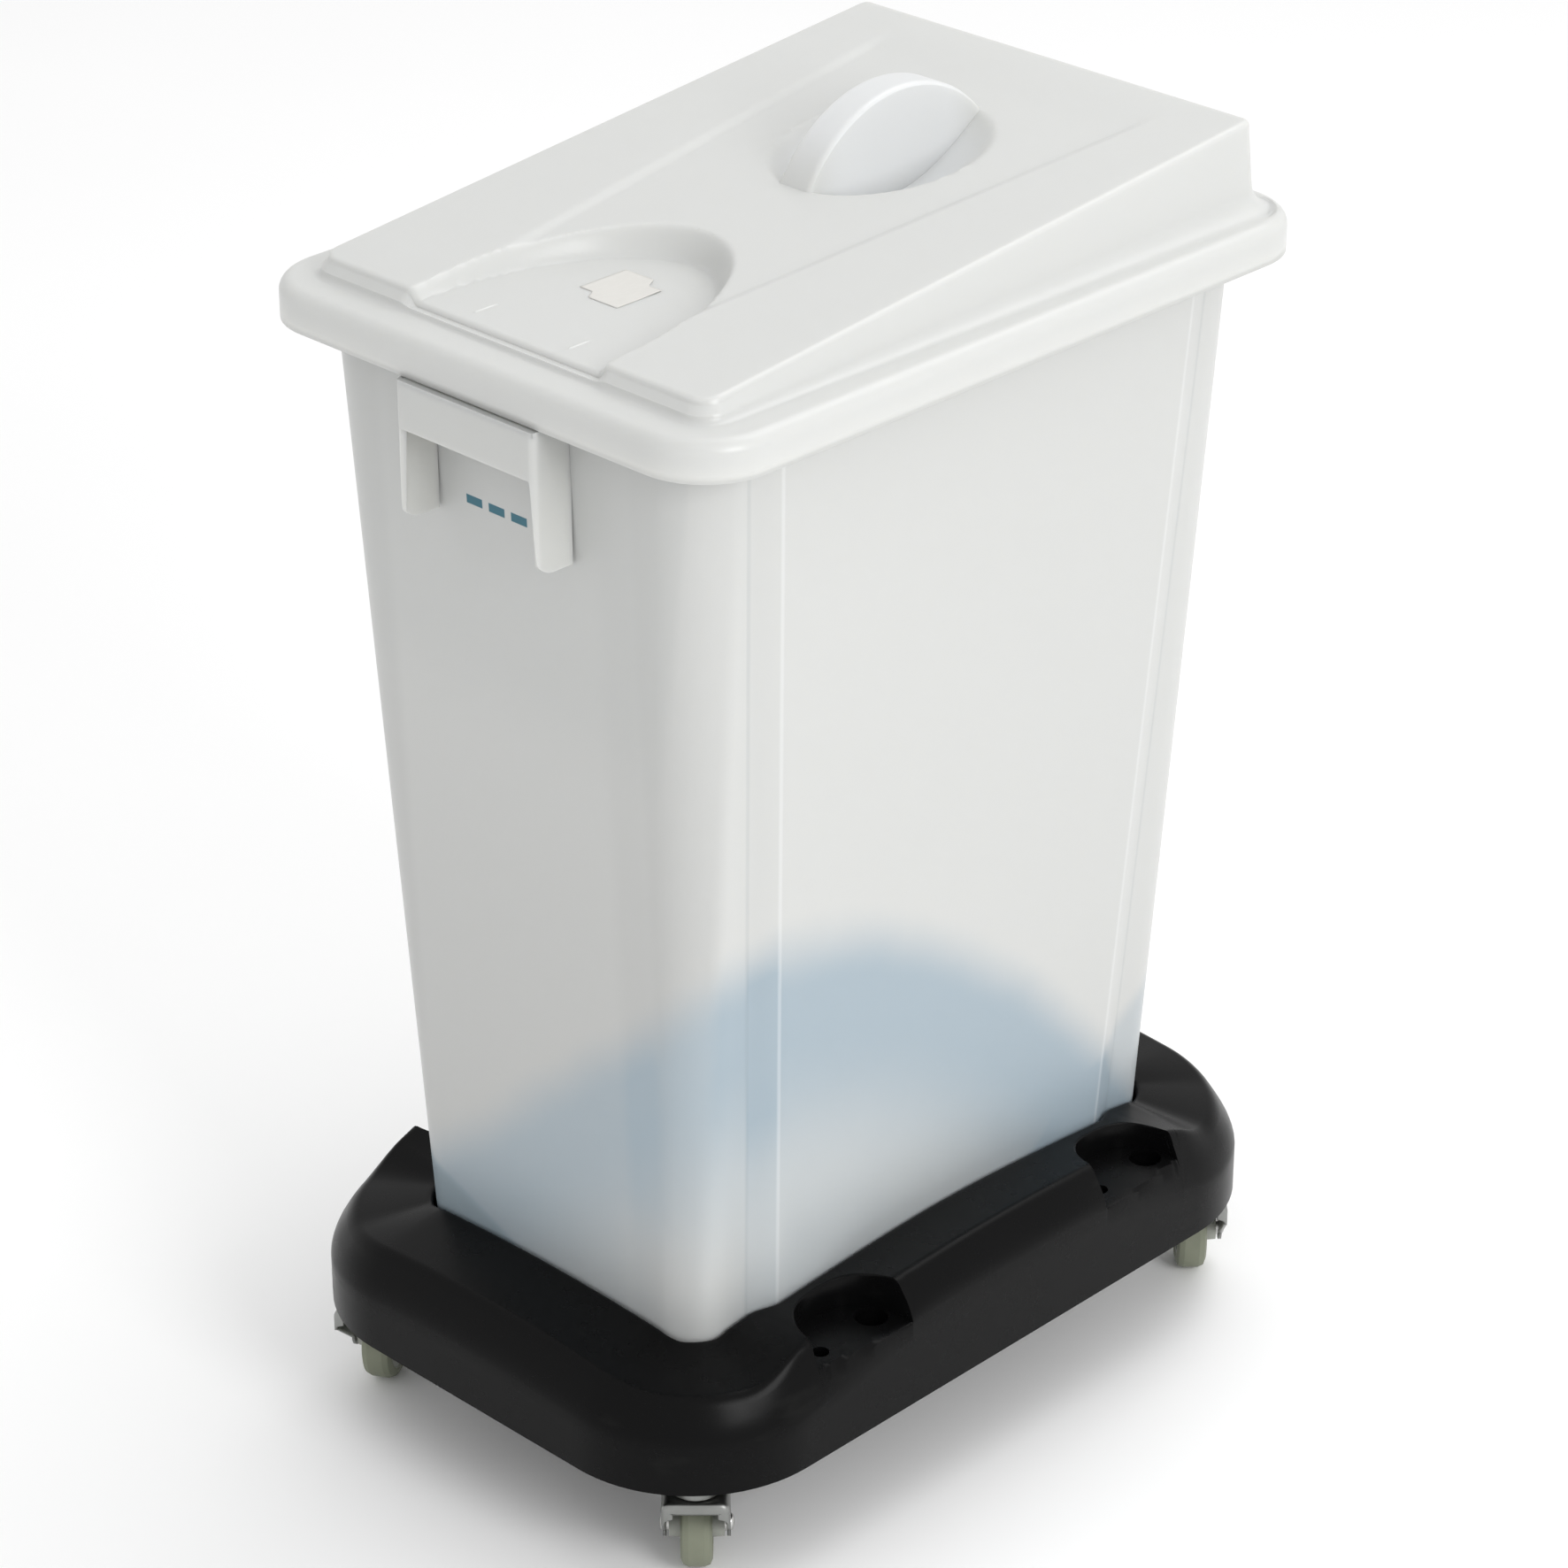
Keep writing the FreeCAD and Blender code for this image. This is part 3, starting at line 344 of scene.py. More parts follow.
# %% Height of the lid's top
CREASE_ROUND, PANEL_SUNK = 3.0, 2.2
WEDGE_X, WEDGE_FRONT, WEDGE_BACK, WEDGE_CORNER = 144.5, -208.0, 210.0, (12.0, 6.0)
WEDGE_RISE, WEDGE_SLOPE = 30.7, 0.0925
PANEL_HALF, PANEL_SPREAD, PANEL_EDGE, PANEL_END, PANEL_FADE = 81.0, 0.0975, 4, 195, 45
BASE_X, BASE_Y, BASE_CORNER = 148.0, 212.0, (15.0, 9.0)
RIB_X, RIB_START, RIB_END, RIB_PEAK, RIB_HIGH = 11.2, 2.0, 138.0, 62.0, 33.0
RIB_FLAT, RIB_ROUND = 8.7, 2.0
BOWL_X, BOWL_Y, BOWL_MIDDLE, BOWL_DEEP, BOWL_POWER = 56.0, 68.0, 70.0, 25.0, 1.1
RECESS_X, RECESS_Y, RECESS_MIDDLE, RECESS_RISE, RECESS_EDGE = 73.6, 125.6, -188.0, 5.6, 0.10
TICK_X, TICK_FRONT, TICK_BACK, TICK_HALF, TICK_HIGH = 35.0, -198.0, -181.0, 0.7, 0.5


def ramp(y):
    """The wedge's slope: a straight rise from front to back."""
    return LID_TOP + WEDGE_RISE + WEDGE_SLOPE * y


def border(y):
    """Half width of the sunk panel, which widens to the back."""
    return PANEL_HALF + PANEL_SPREAD * y


def rib_arc(y):
    """The circle through the rib's two feet on the panel and its peak."""
    feet = np.array([[foot, ramp(foot) - PANEL_SUNK] for foot in (RIB_START, RIB_END)])
    peak = np.array([RIB_PEAK, ramp(RIB_PEAK) + RIB_HIGH])
    middle = np.linalg.solve(2 * (feet - peak), (feet ** 2).sum(1) - (peak ** 2).sum())
    radius = math.dist(middle, peak)
    return middle[1] + np.sqrt(np.maximum(radius ** 2 - (y - middle[0]) ** 2, 0))


def lid_height(x, y):
    """Height over the plan: slope, less the panel and the bowls, then the rib, then the recess."""
    x = np.abs(x)
    height = ramp(y) - (PANEL_SUNK * smooth((border(y) + PANEL_EDGE - x) / (2 * PANEL_EDGE))
                        * smooth((PANEL_END - y) / PANEL_FADE))
    bowl = np.clip(1 - (x / BOWL_X) ** 2 - ((y - BOWL_MIDDLE) / BOWL_Y) ** 2, 0, 1)
    height = height - BOWL_DEEP * bowl ** BOWL_POWER
    rib = rib_arc(y) - RIB_ROUND * np.clip((x - RIB_FLAT) / (RIB_X - RIB_FLAT), 0, 1) ** 2
    on_rib = (x < RIB_X + 0.01) & (y > RIB_START) & (y < RIB_END)
    height = np.where(on_rib, np.maximum(height, rib), height)
    inside = 1 - np.hypot(x / RECESS_X, np.maximum(y - RECESS_MIDDLE, 0) / RECESS_Y)
    height = height + (LID_TOP + RECESS_RISE - height) * smooth(inside / RECESS_EDGE)
    tick = np.clip(1 - np.abs(x - TICK_X) / TICK_HALF, 0, 1) * ((y > TICK_FRONT) & (y < TICK_BACK))
    return height + TICK_HIGH * tick


# %% [markdown]
# Rounding a corner of a grid without breaking its rows takes one idea: inside
# the corner's square, a point moves towards the square's inner corner until
# its distance from it equals what its larger offset was. The square's outer
# edges then lie on an arc.

# %% Build the lid
FILLET, FILLET_GROWTH, FILLET_FROM, FLANGE_ROLL = 3.0, 0.28, 8.0, 8.0


def soften(x, y, half_x, half_y, middle, radius):
    """Moves the points of a rectangle's four corner squares so that its edge becomes an arc."""
    side_x, side_y = np.sign(x), np.sign(y - middle)
    over_x = np.maximum(np.abs(x) - (half_x - radius), 0)
    over_y = np.maximum(np.abs(y - middle) - (half_y - radius), 0)
    pull = np.where((over_x > 0) & (over_y > 0),
                    np.maximum(over_x, over_y) / np.maximum(np.hypot(over_x, over_y), 1e-9), 1.0)
    return (x + side_x * over_x * (pull - 1), y + side_y * over_y * (pull - 1))


def edge_loop(grid):
    """The points round a grid's edge, once each, in order."""
    return np.concatenate([grid[0, :-1], grid[:-1, -1], grid[-1, :0:-1], grid[:0:-1, 0]])


def lid_skins():
    """The wedge's top as a grid, and rings from its edge to the skirt's end."""
    y = stretch([WEDGE_FRONT + CREASE_ROUND, RECESS_MIDDLE, -110, -50, 0, 5, 135, 141,
                 WEDGE_BACK - CREASE_ROUND], [8, 32, 40, 18, 5, 60, 5, 26])
    top_x = WEDGE_X - CREASE_ROUND
    straight = [0, RIB_FLAT, 9.9, 10.7, RIB_X, 12.0, TICK_X - TICK_HALF, TICK_X, TICK_X + TICK_HALF]
    lines = np.stack([0 * y + x for x in straight]
                     + [border(y) + off for off in (-PANEL_EDGE, PANEL_EDGE, 14)] + [0 * y + top_x])
    counts = [5, 1, 1, 1, 1, 12, 1, 1, 17, 4, 6, 17]
    half = np.concatenate([a + (b - a) * np.arange(n)[:, None] / n
                           for a, b, n in zip(lines[:-1], lines[1:], counts)] + [lines[-1:]])
    x = np.concatenate([-half[:0:-1], half]).T
    y = y[:, None] + 0 * x
    half_y, middle = (WEDGE_BACK - WEDGE_FRONT) / 2, (WEDGE_BACK + WEDGE_FRONT) / 2
    corner = np.where(y > middle, WEDGE_CORNER[1], WEDGE_CORNER[0])
    round_x, round_y = soften(x, y, top_x, half_y - CREASE_ROUND, middle, corner - CREASE_ROUND)
    top = grid_of(round_x, round_y, lid_height(round_x, round_y))
    square = edge_loop(np.stack([x / top_x, (y - middle) / (half_y - CREASE_ROUND)], axis=-1))
    crest = edge_loop(top)[:, 2]
    corner = edge_loop(corner)
    base_corner = np.where(square[:, 1] > 0, BASE_CORNER[1], BASE_CORNER[0])
    foot = FILLET + FILLET_GROWTH * np.maximum(crest - LID_TOP - FILLET_FROM, 0)

    def ring(half_x, half_y, middle, radius, height):
        """One ring: the grid's edge spread to these half sizes, its corners rounded."""
        ring_x, ring_y = soften(square[:, 0] * half_x, middle + square[:, 1] * half_y,
                                half_x, half_y, middle, radius)
        return grid_of(ring_x, ring_y, height)

    rings = [edge_loop(top)]
    for turn in np.linspace(0, math.pi / 2, 5)[1:]:
        out = CREASE_ROUND * (math.sin(turn) - 1)
        rings.append(ring(WEDGE_X + out, half_y + out, middle, corner + out,
                          crest - CREASE_ROUND * (1 - math.cos(turn))))
    blend = np.minimum(foot, crest - CREASE_ROUND - LID_TOP)
    low = LID_TOP + blend
    for share in np.linspace(0, 1, 6)[1:]:
        rings.append(ring(WEDGE_X + (BASE_X - WEDGE_X) * share, half_y + (BASE_Y - half_y) * share,
                          middle * (1 - share), corner + (base_corner - corner) * share,
                          crest - CREASE_ROUND + (low - crest + CREASE_ROUND) * share))
    for turn in np.linspace(0, math.pi / 2, 7)[1:]:
        out = blend * (1 - math.cos(turn))
        rings.append(ring(BASE_X + out, BASE_Y + out, 0, base_corner + out,
                          LID_TOP + blend * (1 - math.sin(turn))))
    for turn in np.linspace(0, math.pi / 2, 8):
        out = FLANGE_ROLL * (math.sin(turn) - 1)
        rings.append(ring(LID_X + out, LID_Y + out, 0, LID_CORNER + out,
                          LID_TOP - FLANGE_ROLL * (1 - math.cos(turn))))
    for height in np.linspace(LID_TOP - FLANGE_ROLL, LID_SKIRT, 4)[1:]:
        rings.append(ring(LID_X, LID_Y, 0, LID_CORNER, height))
    return [skin(top), skin(np.stack(rings), around=True)]


def sheet_of(piece, thickness):
    """Gives an open surface a wall on its inner side."""
    wall = piece.modifiers.new("wall", "SOLIDIFY")
    wall.thickness, wall.offset = thickness * MM, -1.0


lid_piece = build("milky_lid", lid_skins(), "lid", replaces=["lid"], crease=30.0)
sheet_of(lid_piece, LID_SHEET)

# %% [markdown]
# ## The dolly
#
# The dolly is one black moulding: a fat rounded ring that climbs at the middle
# of its long sides, falls into a well for the bin, and has four arched pockets
# opening outwards. A loft would facet it, so its top is again a height, this
# time over a grid whose columns run inwards from the outer outline to the
# well's. The columns crowd together at a pocket's ends, and four rows stand
# nearly on top of each other to make the pocket's upright wall.

# %% Heights of the ring
DECK_CORNER, DECK_SHEET = 89.0, 4.0
POCKET_Y, POCKET_HALF, POCKET_DEEP, POCKET_FLOOR = 117.0, 35.0, 44.0, 129.0
CREST_INSET, CREST_SOFT, SHOULDER_ROUND, LIP_ROUND, WELL_GAP, LIP_Z = 13.0, 6.0, 6.0, 3.0, 1.5, 142.0
LIP_INSET, RING_CORNER_COUNT = 73.8, 20
SIDE_REACH, END_REACH, SAG, SAG_REACH = 0.39, 0.37, 0.3, 0.29
# each: height, rise on a long side, share of the length where that is full, rise on an end
CREST, SHOULDER, LIP = (129, 26, 0.27, 8), (108, 28, 0.11, 8), (138, 10, 0.0, 6)


def side_share(y, flat):
    """1 on the flat middle of a long side, falling smoothly to 0 at SIDE_REACH of the length."""
    low, high = flat * 2 * DECK_Y, SIDE_REACH * 2 * DECK_Y
    return 1 - smooth((np.abs(y) - low) / (high - low))


def end_share(x):
    """1 at the middle of an end, falling as a parabola to 0 at END_REACH of the width."""
    return 1 - np.minimum(1, (x / (END_REACH * 2 * DECK_X)) ** 2)


def level_of(x, y, kind, sag=1.0):
    """Height of the crest, shoulder or lip: its own, plus its rises on the sides and the ends."""
    height, side_rise, flat, end_rise = kind
    return height + side_rise * side_share(y, flat) * sag + end_rise * end_share(x)


def ring_height(x, y, inset, far):
    """Height over the ring: two slopes that meet in a soft crest, rounded at both edges.

    inset is the distance in from the outer outline and far the whole width
    there. The crest's corner is eased by the smooth minimum of the slopes.
    """
    crest = level_of(x, y, CREST, 1 - SAG * np.minimum(1, (y / (SAG_REACH * 2 * DECK_Y)) ** 2))
    shoulder, lip = level_of(x, y, SHOULDER), level_of(x, y, LIP)
    outer = shoulder + (crest - shoulder) * inset / CREST_INSET
    inner = crest + (lip - crest) * (inset - CREST_INSET) / (LIP_INSET - CREST_INSET)
    blend = np.maximum(1 - np.abs(outer - inner) / CREST_SOFT, 0)
    height = np.minimum(outer, inner) - blend ** 2 * CREST_SOFT / 4
    edge = np.clip(1 - inset / SHOULDER_ROUND, 0, 1)
    lip_edge = np.clip(1 - (far - inset) / LIP_ROUND, 0, 1)
    return (height - SHOULDER_ROUND * (1 - np.sqrt(1 - edge ** 2))
            - LIP_ROUND * (1 - np.sqrt(1 - lip_edge ** 2)))


# %% Columns of the ring
def pocket_stations():
    """Places along a pocket from -1 to 1, crowded towards its ends."""
    near = np.array([0.0, 0.001, 0.004, 0.01, 0.02, 0.035, 0.055, 0.08, 0.11, 0.15,
                     0.2, 0.26, 0.33, 0.41, 0.5, 0.6, 0.7, 0.8, 0.9])
    outside = np.array([-0.25, -0.19, -0.13, -0.08, -0.04, -0.002])
    start = -1 + np.concatenate([outside, near])
    return np.concatenate([start, [0.0], -start[::-1]])


def side_stations(straight):
    """y along a long side, from one corner to just before the other."""
    pocket = POCKET_Y + POCKET_HALF * pocket_stations()
    reach = 167.0
    stops = np.concatenate([np.linspace(-reach, -pocket[-1], 3)[:-1], -pocket[::-1],
                            np.linspace(-pocket[0], pocket[0], 24)[1:-1], pocket,
                            np.linspace(pocket[-1], reach, 3)[1:-1]])
    return stops[None, :] * straight / reach


def loop(half_x, half_y, radius, bulge):
    """The ring's outlines, one per row, with the crowded columns on their long sides."""
    half_x, half_y, radius = (
        np.reshape(np.asarray(v, float), (-1, 1)) for v in (half_x, half_y, radius))
    side_y = side_stations(half_y - radius)
    return outline(half_x, half_y, radius, half_x + bulge(side_y), side_y, RING_CORNER_COUNT)


def well_loop(height, inset):
    """Outlines of the well: the tub's own, let out by inset, at some heights."""
    half_x, half_y, radius, panel, step = tub(height, inset)
    return loop(half_x, half_y, radius,
                lambda y: PANEL_STEP * smooth((panel[:, None] + RAMP / 2 - np.abs(y)) / RAMP))


# %% [markdown]
# Each column knows how far in its pocket wall stands: half a superellipse,
# rounder at one end, and the left side is the right one turned half round.
# Outside a pocket that distance only says where the crowded rows go, so it
# slides smoothly between the pocket's end and its place elsewhere.

# %% Build the dolly's ring
POCKET_ROUND, POCKET_SQUARE = (2.4, 0.5), (3.2, 0.42)
LEAST_WALL, PLAIN_WALL, FLOOR_GAP = 0.5, 10.0, 0.15


def arch_share(along, shape):
    """A half superellipse: (1 - |along| ** a) ** b."""
    return np.clip(1 - np.abs(along) ** shape[0], 0, 1) ** shape[1]


def ring_skin():
    """Skirt, face or pocket floor, pocket wall, top, lip, well wall and well floor, as one skin."""
    outer_x, outer_y = loop(DECK_X, DECK_Y, DECK_CORNER, lambda y: 0 * y)
    lip_x, lip_y = well_loop(np.array([LIP_Z]), -WELL_GAP)
    far = np.hypot(lip_x - outer_x, lip_y - outer_y)
    facing = np.sign(outer_x) * outer_y
    along = (facing - np.sign(facing) * POCKET_Y) / POCKET_HALF
    on_side = np.abs(outer_x) > DECK_X - 1e-3
    pocket = on_side & (np.abs(along) <= 1.0001)
    arch = POCKET_DEEP * np.where(along < 0, arch_share(along, POCKET_ROUND),
                                  arch_share(along, POCKET_SQUARE))
    beside = LEAST_WALL + (PLAIN_WALL - LEAST_WALL) * smooth((np.abs(along) - 1) / 0.25)
    wall = np.where(pocket, np.maximum(arch, LEAST_WALL), beside)
    wall = np.where(on_side, wall, PLAIN_WALL)

    def row(inset, sunk=None):
        """One row at a distance in; sunk gives its height inside a pocket."""
        inset = inset + 0 * far
        share = inset / far
        x = outer_x + (lip_x - outer_x) * share
        y = outer_y + (lip_y - outer_y) * share
        height = ring_height(outer_x, outer_y, inset, far)
        if sunk is not None:
            height = np.where(pocket, sunk(height), height)
        return grid_of(x, y, height)[0]

    rows = []
    top_edge = row(0.0, lambda height: np.minimum(POCKET_FLOOR - 1.5, height))
    for share in np.linspace(0, 1, 6)[:-1]:
        low = top_edge.copy()
        low[:, 2] = SKIRT_BOTTOM + (top_edge[:, 2] - SKIRT_BOTTOM) * share
        rows.append(low)
    for share in (0.0, 0.03, 0.08, 0.16, 0.28, 0.42, 0.6, 0.8, 1.0):
        floor_z = POCKET_FLOOR - 1.5 * max(0.0, 1 - share / 0.08) ** 2
        rows.append(row(wall * share, lambda height: np.minimum(floor_z, height)))
    for step, drop in ((0.1, 12.0), (0.3, 1.6), (0.9, 0.5)):
        rows.append(row(wall + step, lambda height: np.maximum(
            height - drop, np.minimum(POCKET_FLOOR, height))))
    rows.append(row(wall + 2.0))
    middle = np.maximum(wall + 4.5, 19.0)
    for share in np.linspace(0, 1, 9)[1:]:
        rows.append(row(wall + 2.0 + (middle - wall - 2.0) * share))
    for share in np.linspace(0, 1, 15)[1:]:
        rows.append(row(middle + (far - LIP_ROUND - middle) * share))
    for share in (0.3, 0.6, 0.85, 1.0):
        rows.append(row(far - LIP_ROUND * (1 - share)))
    lip = rows[-1]
    low_x, low_y = well_loop(np.array([FOOT + FOOT_ROUND]), -WELL_GAP)
    for share in np.linspace(0, 1, 7)[1:]:
        height = lip[:, 2] + (FOOT + FOOT_ROUND - lip[:, 2]) * share
        rows.append(grid_of(lip[:, 0] + (low_x[0] - lip[:, 0]) * share,
                            lip[:, 1] + (low_y[0] - lip[:, 1]) * share, height))
    rise, back = quarter(5)
    for a, b in zip(rise[1:], back[1:]):
        x, y = well_loop(np.array([FOOT + FOOT_ROUND * b]), -WELL_GAP + FOOT_ROUND * a)
        rows.append(grid_of(x[0], y[0], FOOT + FOOT_ROUND * b - FLOOR_GAP))
    last = rows[-1]
    for share in np.linspace(1, 0, 9)[1:]:
        rows.append(last * (share, share, 1))
    return skin(np.stack(rows), around=True)


dolly_piece = build("black_ring", [ring_skin()], "dolly",
                    replaces=["dolly_deck"], crease=32.0)
sheet_of(dolly_piece, DECK_SHEET)

# %% [markdown]
# Each pocket's floor has a large hole for a link and a small one for a lock
# pin. The grid could bend round them, but a Boolean with eight short cylinders
# is simpler and leaves true edges; it is applied at once, so that no cutter
# stays in the scene.

# %% Pocket holes
LINK_RADIUS, LINK_X, LINK_ALONG = 9.5, 154.0, 23.0
LOCK_RADIUS, LOCK_X, LOCK_ALONG = 5.0, 158.0, -22.0
HOLES = [(radius, side * x, side * (middle + along))
         for radius, x, along in ((LINK_RADIUS, LINK_X, LINK_ALONG), (LOCK_RADIUS, LOCK_X, LOCK_ALONG))
         for side in (-1, 1) for middle in (-POCKET_Y, POCKET_Y)]


def turned(profile, x=0.0, y=0.0, steps=32):
    """A profile of radius and height carried round an upright axis at x, y."""
    profile = np.asarray(profile, float)
    turn = np.arange(steps) / steps * 2 * math.pi
    return skin(grid_of(x + profile[:, :1] * np.cos(turn), y + profile[:, :1] * np.sin(turn),
                        profile[:, 1:]), around=True)


def apply_modifiers(piece):
    """Replaces the piece's mesh by what its modifiers make of it."""
    made = bpy.data.meshes.new_from_object(piece.evaluated_get(bpy.context.evaluated_depsgraph_get()))
    piece.modifiers.clear()
    old, piece.data = piece.data, made
    bpy.data.meshes.remove(old)


def pegs():
    """Short cylinders through all the pocket floors."""
    low, high = POCKET_FLOOR - 12, POCKET_FLOOR + 5
    return [turned([(0, low), (radius, low), (radius, high), (0, high)], x, y)
            for radius, x, y in HOLES]


cutter = build("pegs", pegs(), "dolly")
holes = dolly_piece.modifiers.new("holes", "BOOLEAN")
holes.operation, holes.solver, holes.object = "DIFFERENCE", "EXACT", cutter
apply_modifiers(dolly_piece)
cutter_mesh = cutter.data
bpy.data.objects.remove(cutter)
bpy.data.meshes.remove(cutter_mesh)
dolly_piece.data.shade_smooth()
dolly_piece.data.set_sharp_from_angle(angle=math.radians(32))
print("ring with holes:", len(dolly_piece.data.polygons), "faces")

# %% [markdown]
# Under the ring stand thin ribs between the skirt and the well, a boss for each
# caster's stem and a sleeve below each pocket hole. They are plates and tubes;
# the top edge of a plate follows the ring's own height function, a sheet's
# thickness lower.

# %% Ribs and bosses
RIB_HALF, RIB_BOTTOM, BOSS_RADIUS, STEM_RADIUS = 1.5, 76.0, 17.0, 8.05
SIDE_RIBS, END_RIBS = (-75.0, 0.0, 75.0), (-50.0, 50.0)
SLEEVE_BOTTOM, SLEEVE_WALL = 88.0, 2
PIVOT_X, PIVOT_Y = 134.0, 213.0


def plate(low, high, half):
    """A flat plate between two edges, thickened by half to each side, with its ends closed."""
    half = np.asarray(half, float)
    section = np.stack([low - half, high - half, high + half, low + half], axis=1)
    ends = np.repeat(section[[0, -1]].mean(axis=1, keepdims=True), 4, axis=1)
    return skin(np.concatenate([ends[:1], section, ends[1:]]), around=True)


def under_ring(x, y, inset, far, half):
    """A rib from its bottom to just under the ring."""
    height = ring_height(x, y, inset, far) - DECK_SHEET
    place_x, place_y = (x - np.sign(x) * inset, y) if half[1] else (x, y - np.sign(y) * inset)
    low = grid_of(place_x, place_y, RIB_BOTTOM)
    high = grid_of(place_x, place_y, np.maximum(height, RIB_BOTTOM + 1))
    return plate(low, high, half)


def rib_skins():
    """Three ribs across each long side, two across each end, four bosses and eight sleeves."""
    side_inset, end_inset = np.linspace(3, 49, 16), np.linspace(3, 56, 16)
    ribs = [under_ring(side * DECK_X, y, side_inset, 60.0, (0, RIB_HALF, 0))
            for side in (-1, 1) for y in SIDE_RIBS]
    ribs += [under_ring(x, end * DECK_Y, end_inset, 62.0, (RIB_HALF, 0, 0))
             for end in (-1, 1) for x in END_RIBS]
    top = limits("stem_inserts")[1][2] + 2
    tube = [(STEM_RADIUS, RIB_BOTTOM), (BOSS_RADIUS, RIB_BOTTOM), (BOSS_RADIUS - 1, top), (0, top),
            (0, top - 1.9), (STEM_RADIUS, top - 1.9), (STEM_RADIUS, RIB_BOTTOM)]
    bosses = [turned(tube, side * PIVOT_X, end * PIVOT_Y) for side in (-1, 1) for end in (-1, 1)]
    low, high = SLEEVE_BOTTOM, POCKET_FLOOR - 3
    sleeves = [turned([(radius, low), (radius + SLEEVE_WALL, low), (radius + SLEEVE_WALL, high),
                       (radius, high), (radius, low)], x, y) for radius, x, y in HOLES]
    return ribs + bosses + sleeves


ribs_piece = build("black_ribs", rib_skins(), "dolly", crease=30.0)

# %% [markdown]
# ## Caster forks
#
# A fork is one zinc-plated sheet, pressed into a U with soft bends and a lip
# turned down over its leading end. Boxes would look cut out; a path up one
# leg, over the crown and down the other, carried along the fork's length and
# drawn in at the lip, gives the pressed shape, and Solidify its 2 mm.

# %% Build the forks
CORNERS = ("front_right", "front_left", "back_right", "back_left")
TRAIL = {"front_right": 134.3, "front_left": 120.6, "back_right": 134.3, "back_left": 131.0}
FORK_X, FORK_TOP, FORK_BEND, FORK_SHEET = 19.0, 64.5, 5.0, 2.0
FORK_FRONT, FORK_BACK, FORK_LIP, LIP_BEND = -18.0, 13.0, 6.5, 3
AXLE_X, AXLE_Z, LUG = 22.0, 25.0, 8.0


def leg_low(along):
    """Lower edge of a leg: a rounded front corner, a slope, then a half circle round the axle."""
    slope_down = np.interp(along, [FORK_FRONT, -16.8, -14.0, 14.0], [53.0, 50.2, 49.0, AXLE_Z])
    lug = AXLE_Z - np.sqrt(np.maximum(LUG ** 2 - (along - AXLE_X) ** 2, 0))
    return np.where(along < AXLE_X - LUG, slope_down, lug)


def fork_skins():
    """The crown with its legs and lip as one grid, and the rear part of each leg as another."""
    turn = np.linspace(0, math.pi / 2, 6)
    share = np.linspace(0, 1, 9)[:-1]
    bend_z = FORK_TOP - FORK_BEND
    plain = np.linspace(FORK_BACK, FORK_FRONT + LIP_BEND, 22)
    along = np.concatenate([plain, FORK_FRONT + LIP_BEND - LIP_BEND * np.sin(turn[1:]),
                            np.full(3, FORK_FRONT)])[:, None]
    draw = np.concatenate([0 * plain, LIP_BEND * (1 - np.cos(turn[1:])),
                           np.linspace(LIP_BEND, FORK_LIP, 4)[1:]])[:, None]
    low = leg_low(along) + 0.3 * draw
    bend = np.maximum(FORK_BEND - draw, 0.4)
    leg_w, leg_z = FORK_X - draw + 0 * share, low + (bend_z - low) * share
    bend_w = FORK_X - draw - bend + bend * np.cos(turn)
    bend_h = FORK_TOP - draw - bend + bend * np.sin(turn)
    crown_w = (FORK_X - draw - bend) * np.linspace(1, 0, 8)[1:]
    crown_z = FORK_TOP - draw + 0 * crown_w
    half_w = np.concatenate([leg_w, bend_w, crown_w], axis=1)
    half_z = np.concatenate([leg_z, bend_h, crown_z], axis=1)
    across_w = np.concatenate([half_w, -half_w[:, -2::-1]], axis=1)
    across_z = np.concatenate([half_z, half_z[:, -2::-1]], axis=1)
    crown = grid_of(along, across_w, across_z)
    rear = AXLE_X + LUG * -np.cos(np.linspace(0, math.pi, 18))
    rear = np.concatenate([[FORK_BACK], rear])[:, None]
    high = np.interp(rear, [FORK_BACK, 19.0, AXLE_X + LUG], [bend_z, 52.5, AXLE_Z + 0.6])
    rear_low = leg_low(rear)
    rear_z = rear_low + (high - rear_low) * np.linspace(0, 1, 9)
    legs = [grid_of(rear, side * FORK_X, rear_z) for side in (-1, 1)]
    return crown, legs


def at_caster(grid, corner):
    """Turns a grid from a caster's own axes, trail first, to its place under the dolly."""
    side_x = 1 if corner.endswith("right") else -1
    side_y = 1 if corner.startswith("back") else -1
    angle = math.radians(TRAIL[corner])
    x = grid[..., 0] * math.cos(angle) - grid[..., 1] * math.sin(angle) + side_x * PIVOT_X
    y = grid[..., 0] * math.sin(angle) + grid[..., 1] * math.cos(angle) + side_y * PIVOT_Y
    return grid_of(x, y, grid[..., 2])


fork_pieces = []
for corner in CORNERS:
    crown, legs = fork_skins()
    fork_piece = build("zinc_fork_" + corner, [skin(at_caster(g, corner)) for g in (crown, *legs)],
                       "swivel_" + corner, replaces=["fork_" + corner], crease=35.0)
    sheet_of(fork_piece, FORK_SHEET)
    fork_pieces.append(fork_piece)

# %% [markdown]
# The axle is held by a low domed rivet head on each leg. Its profile, a radius
# for each distance along the axle, is carried round the axle's own line.

# %% Rivets
HEAD_RADIUS, HEAD_HIGH, SHAFT_RADIUS = 5.0, 2.2, 3.0


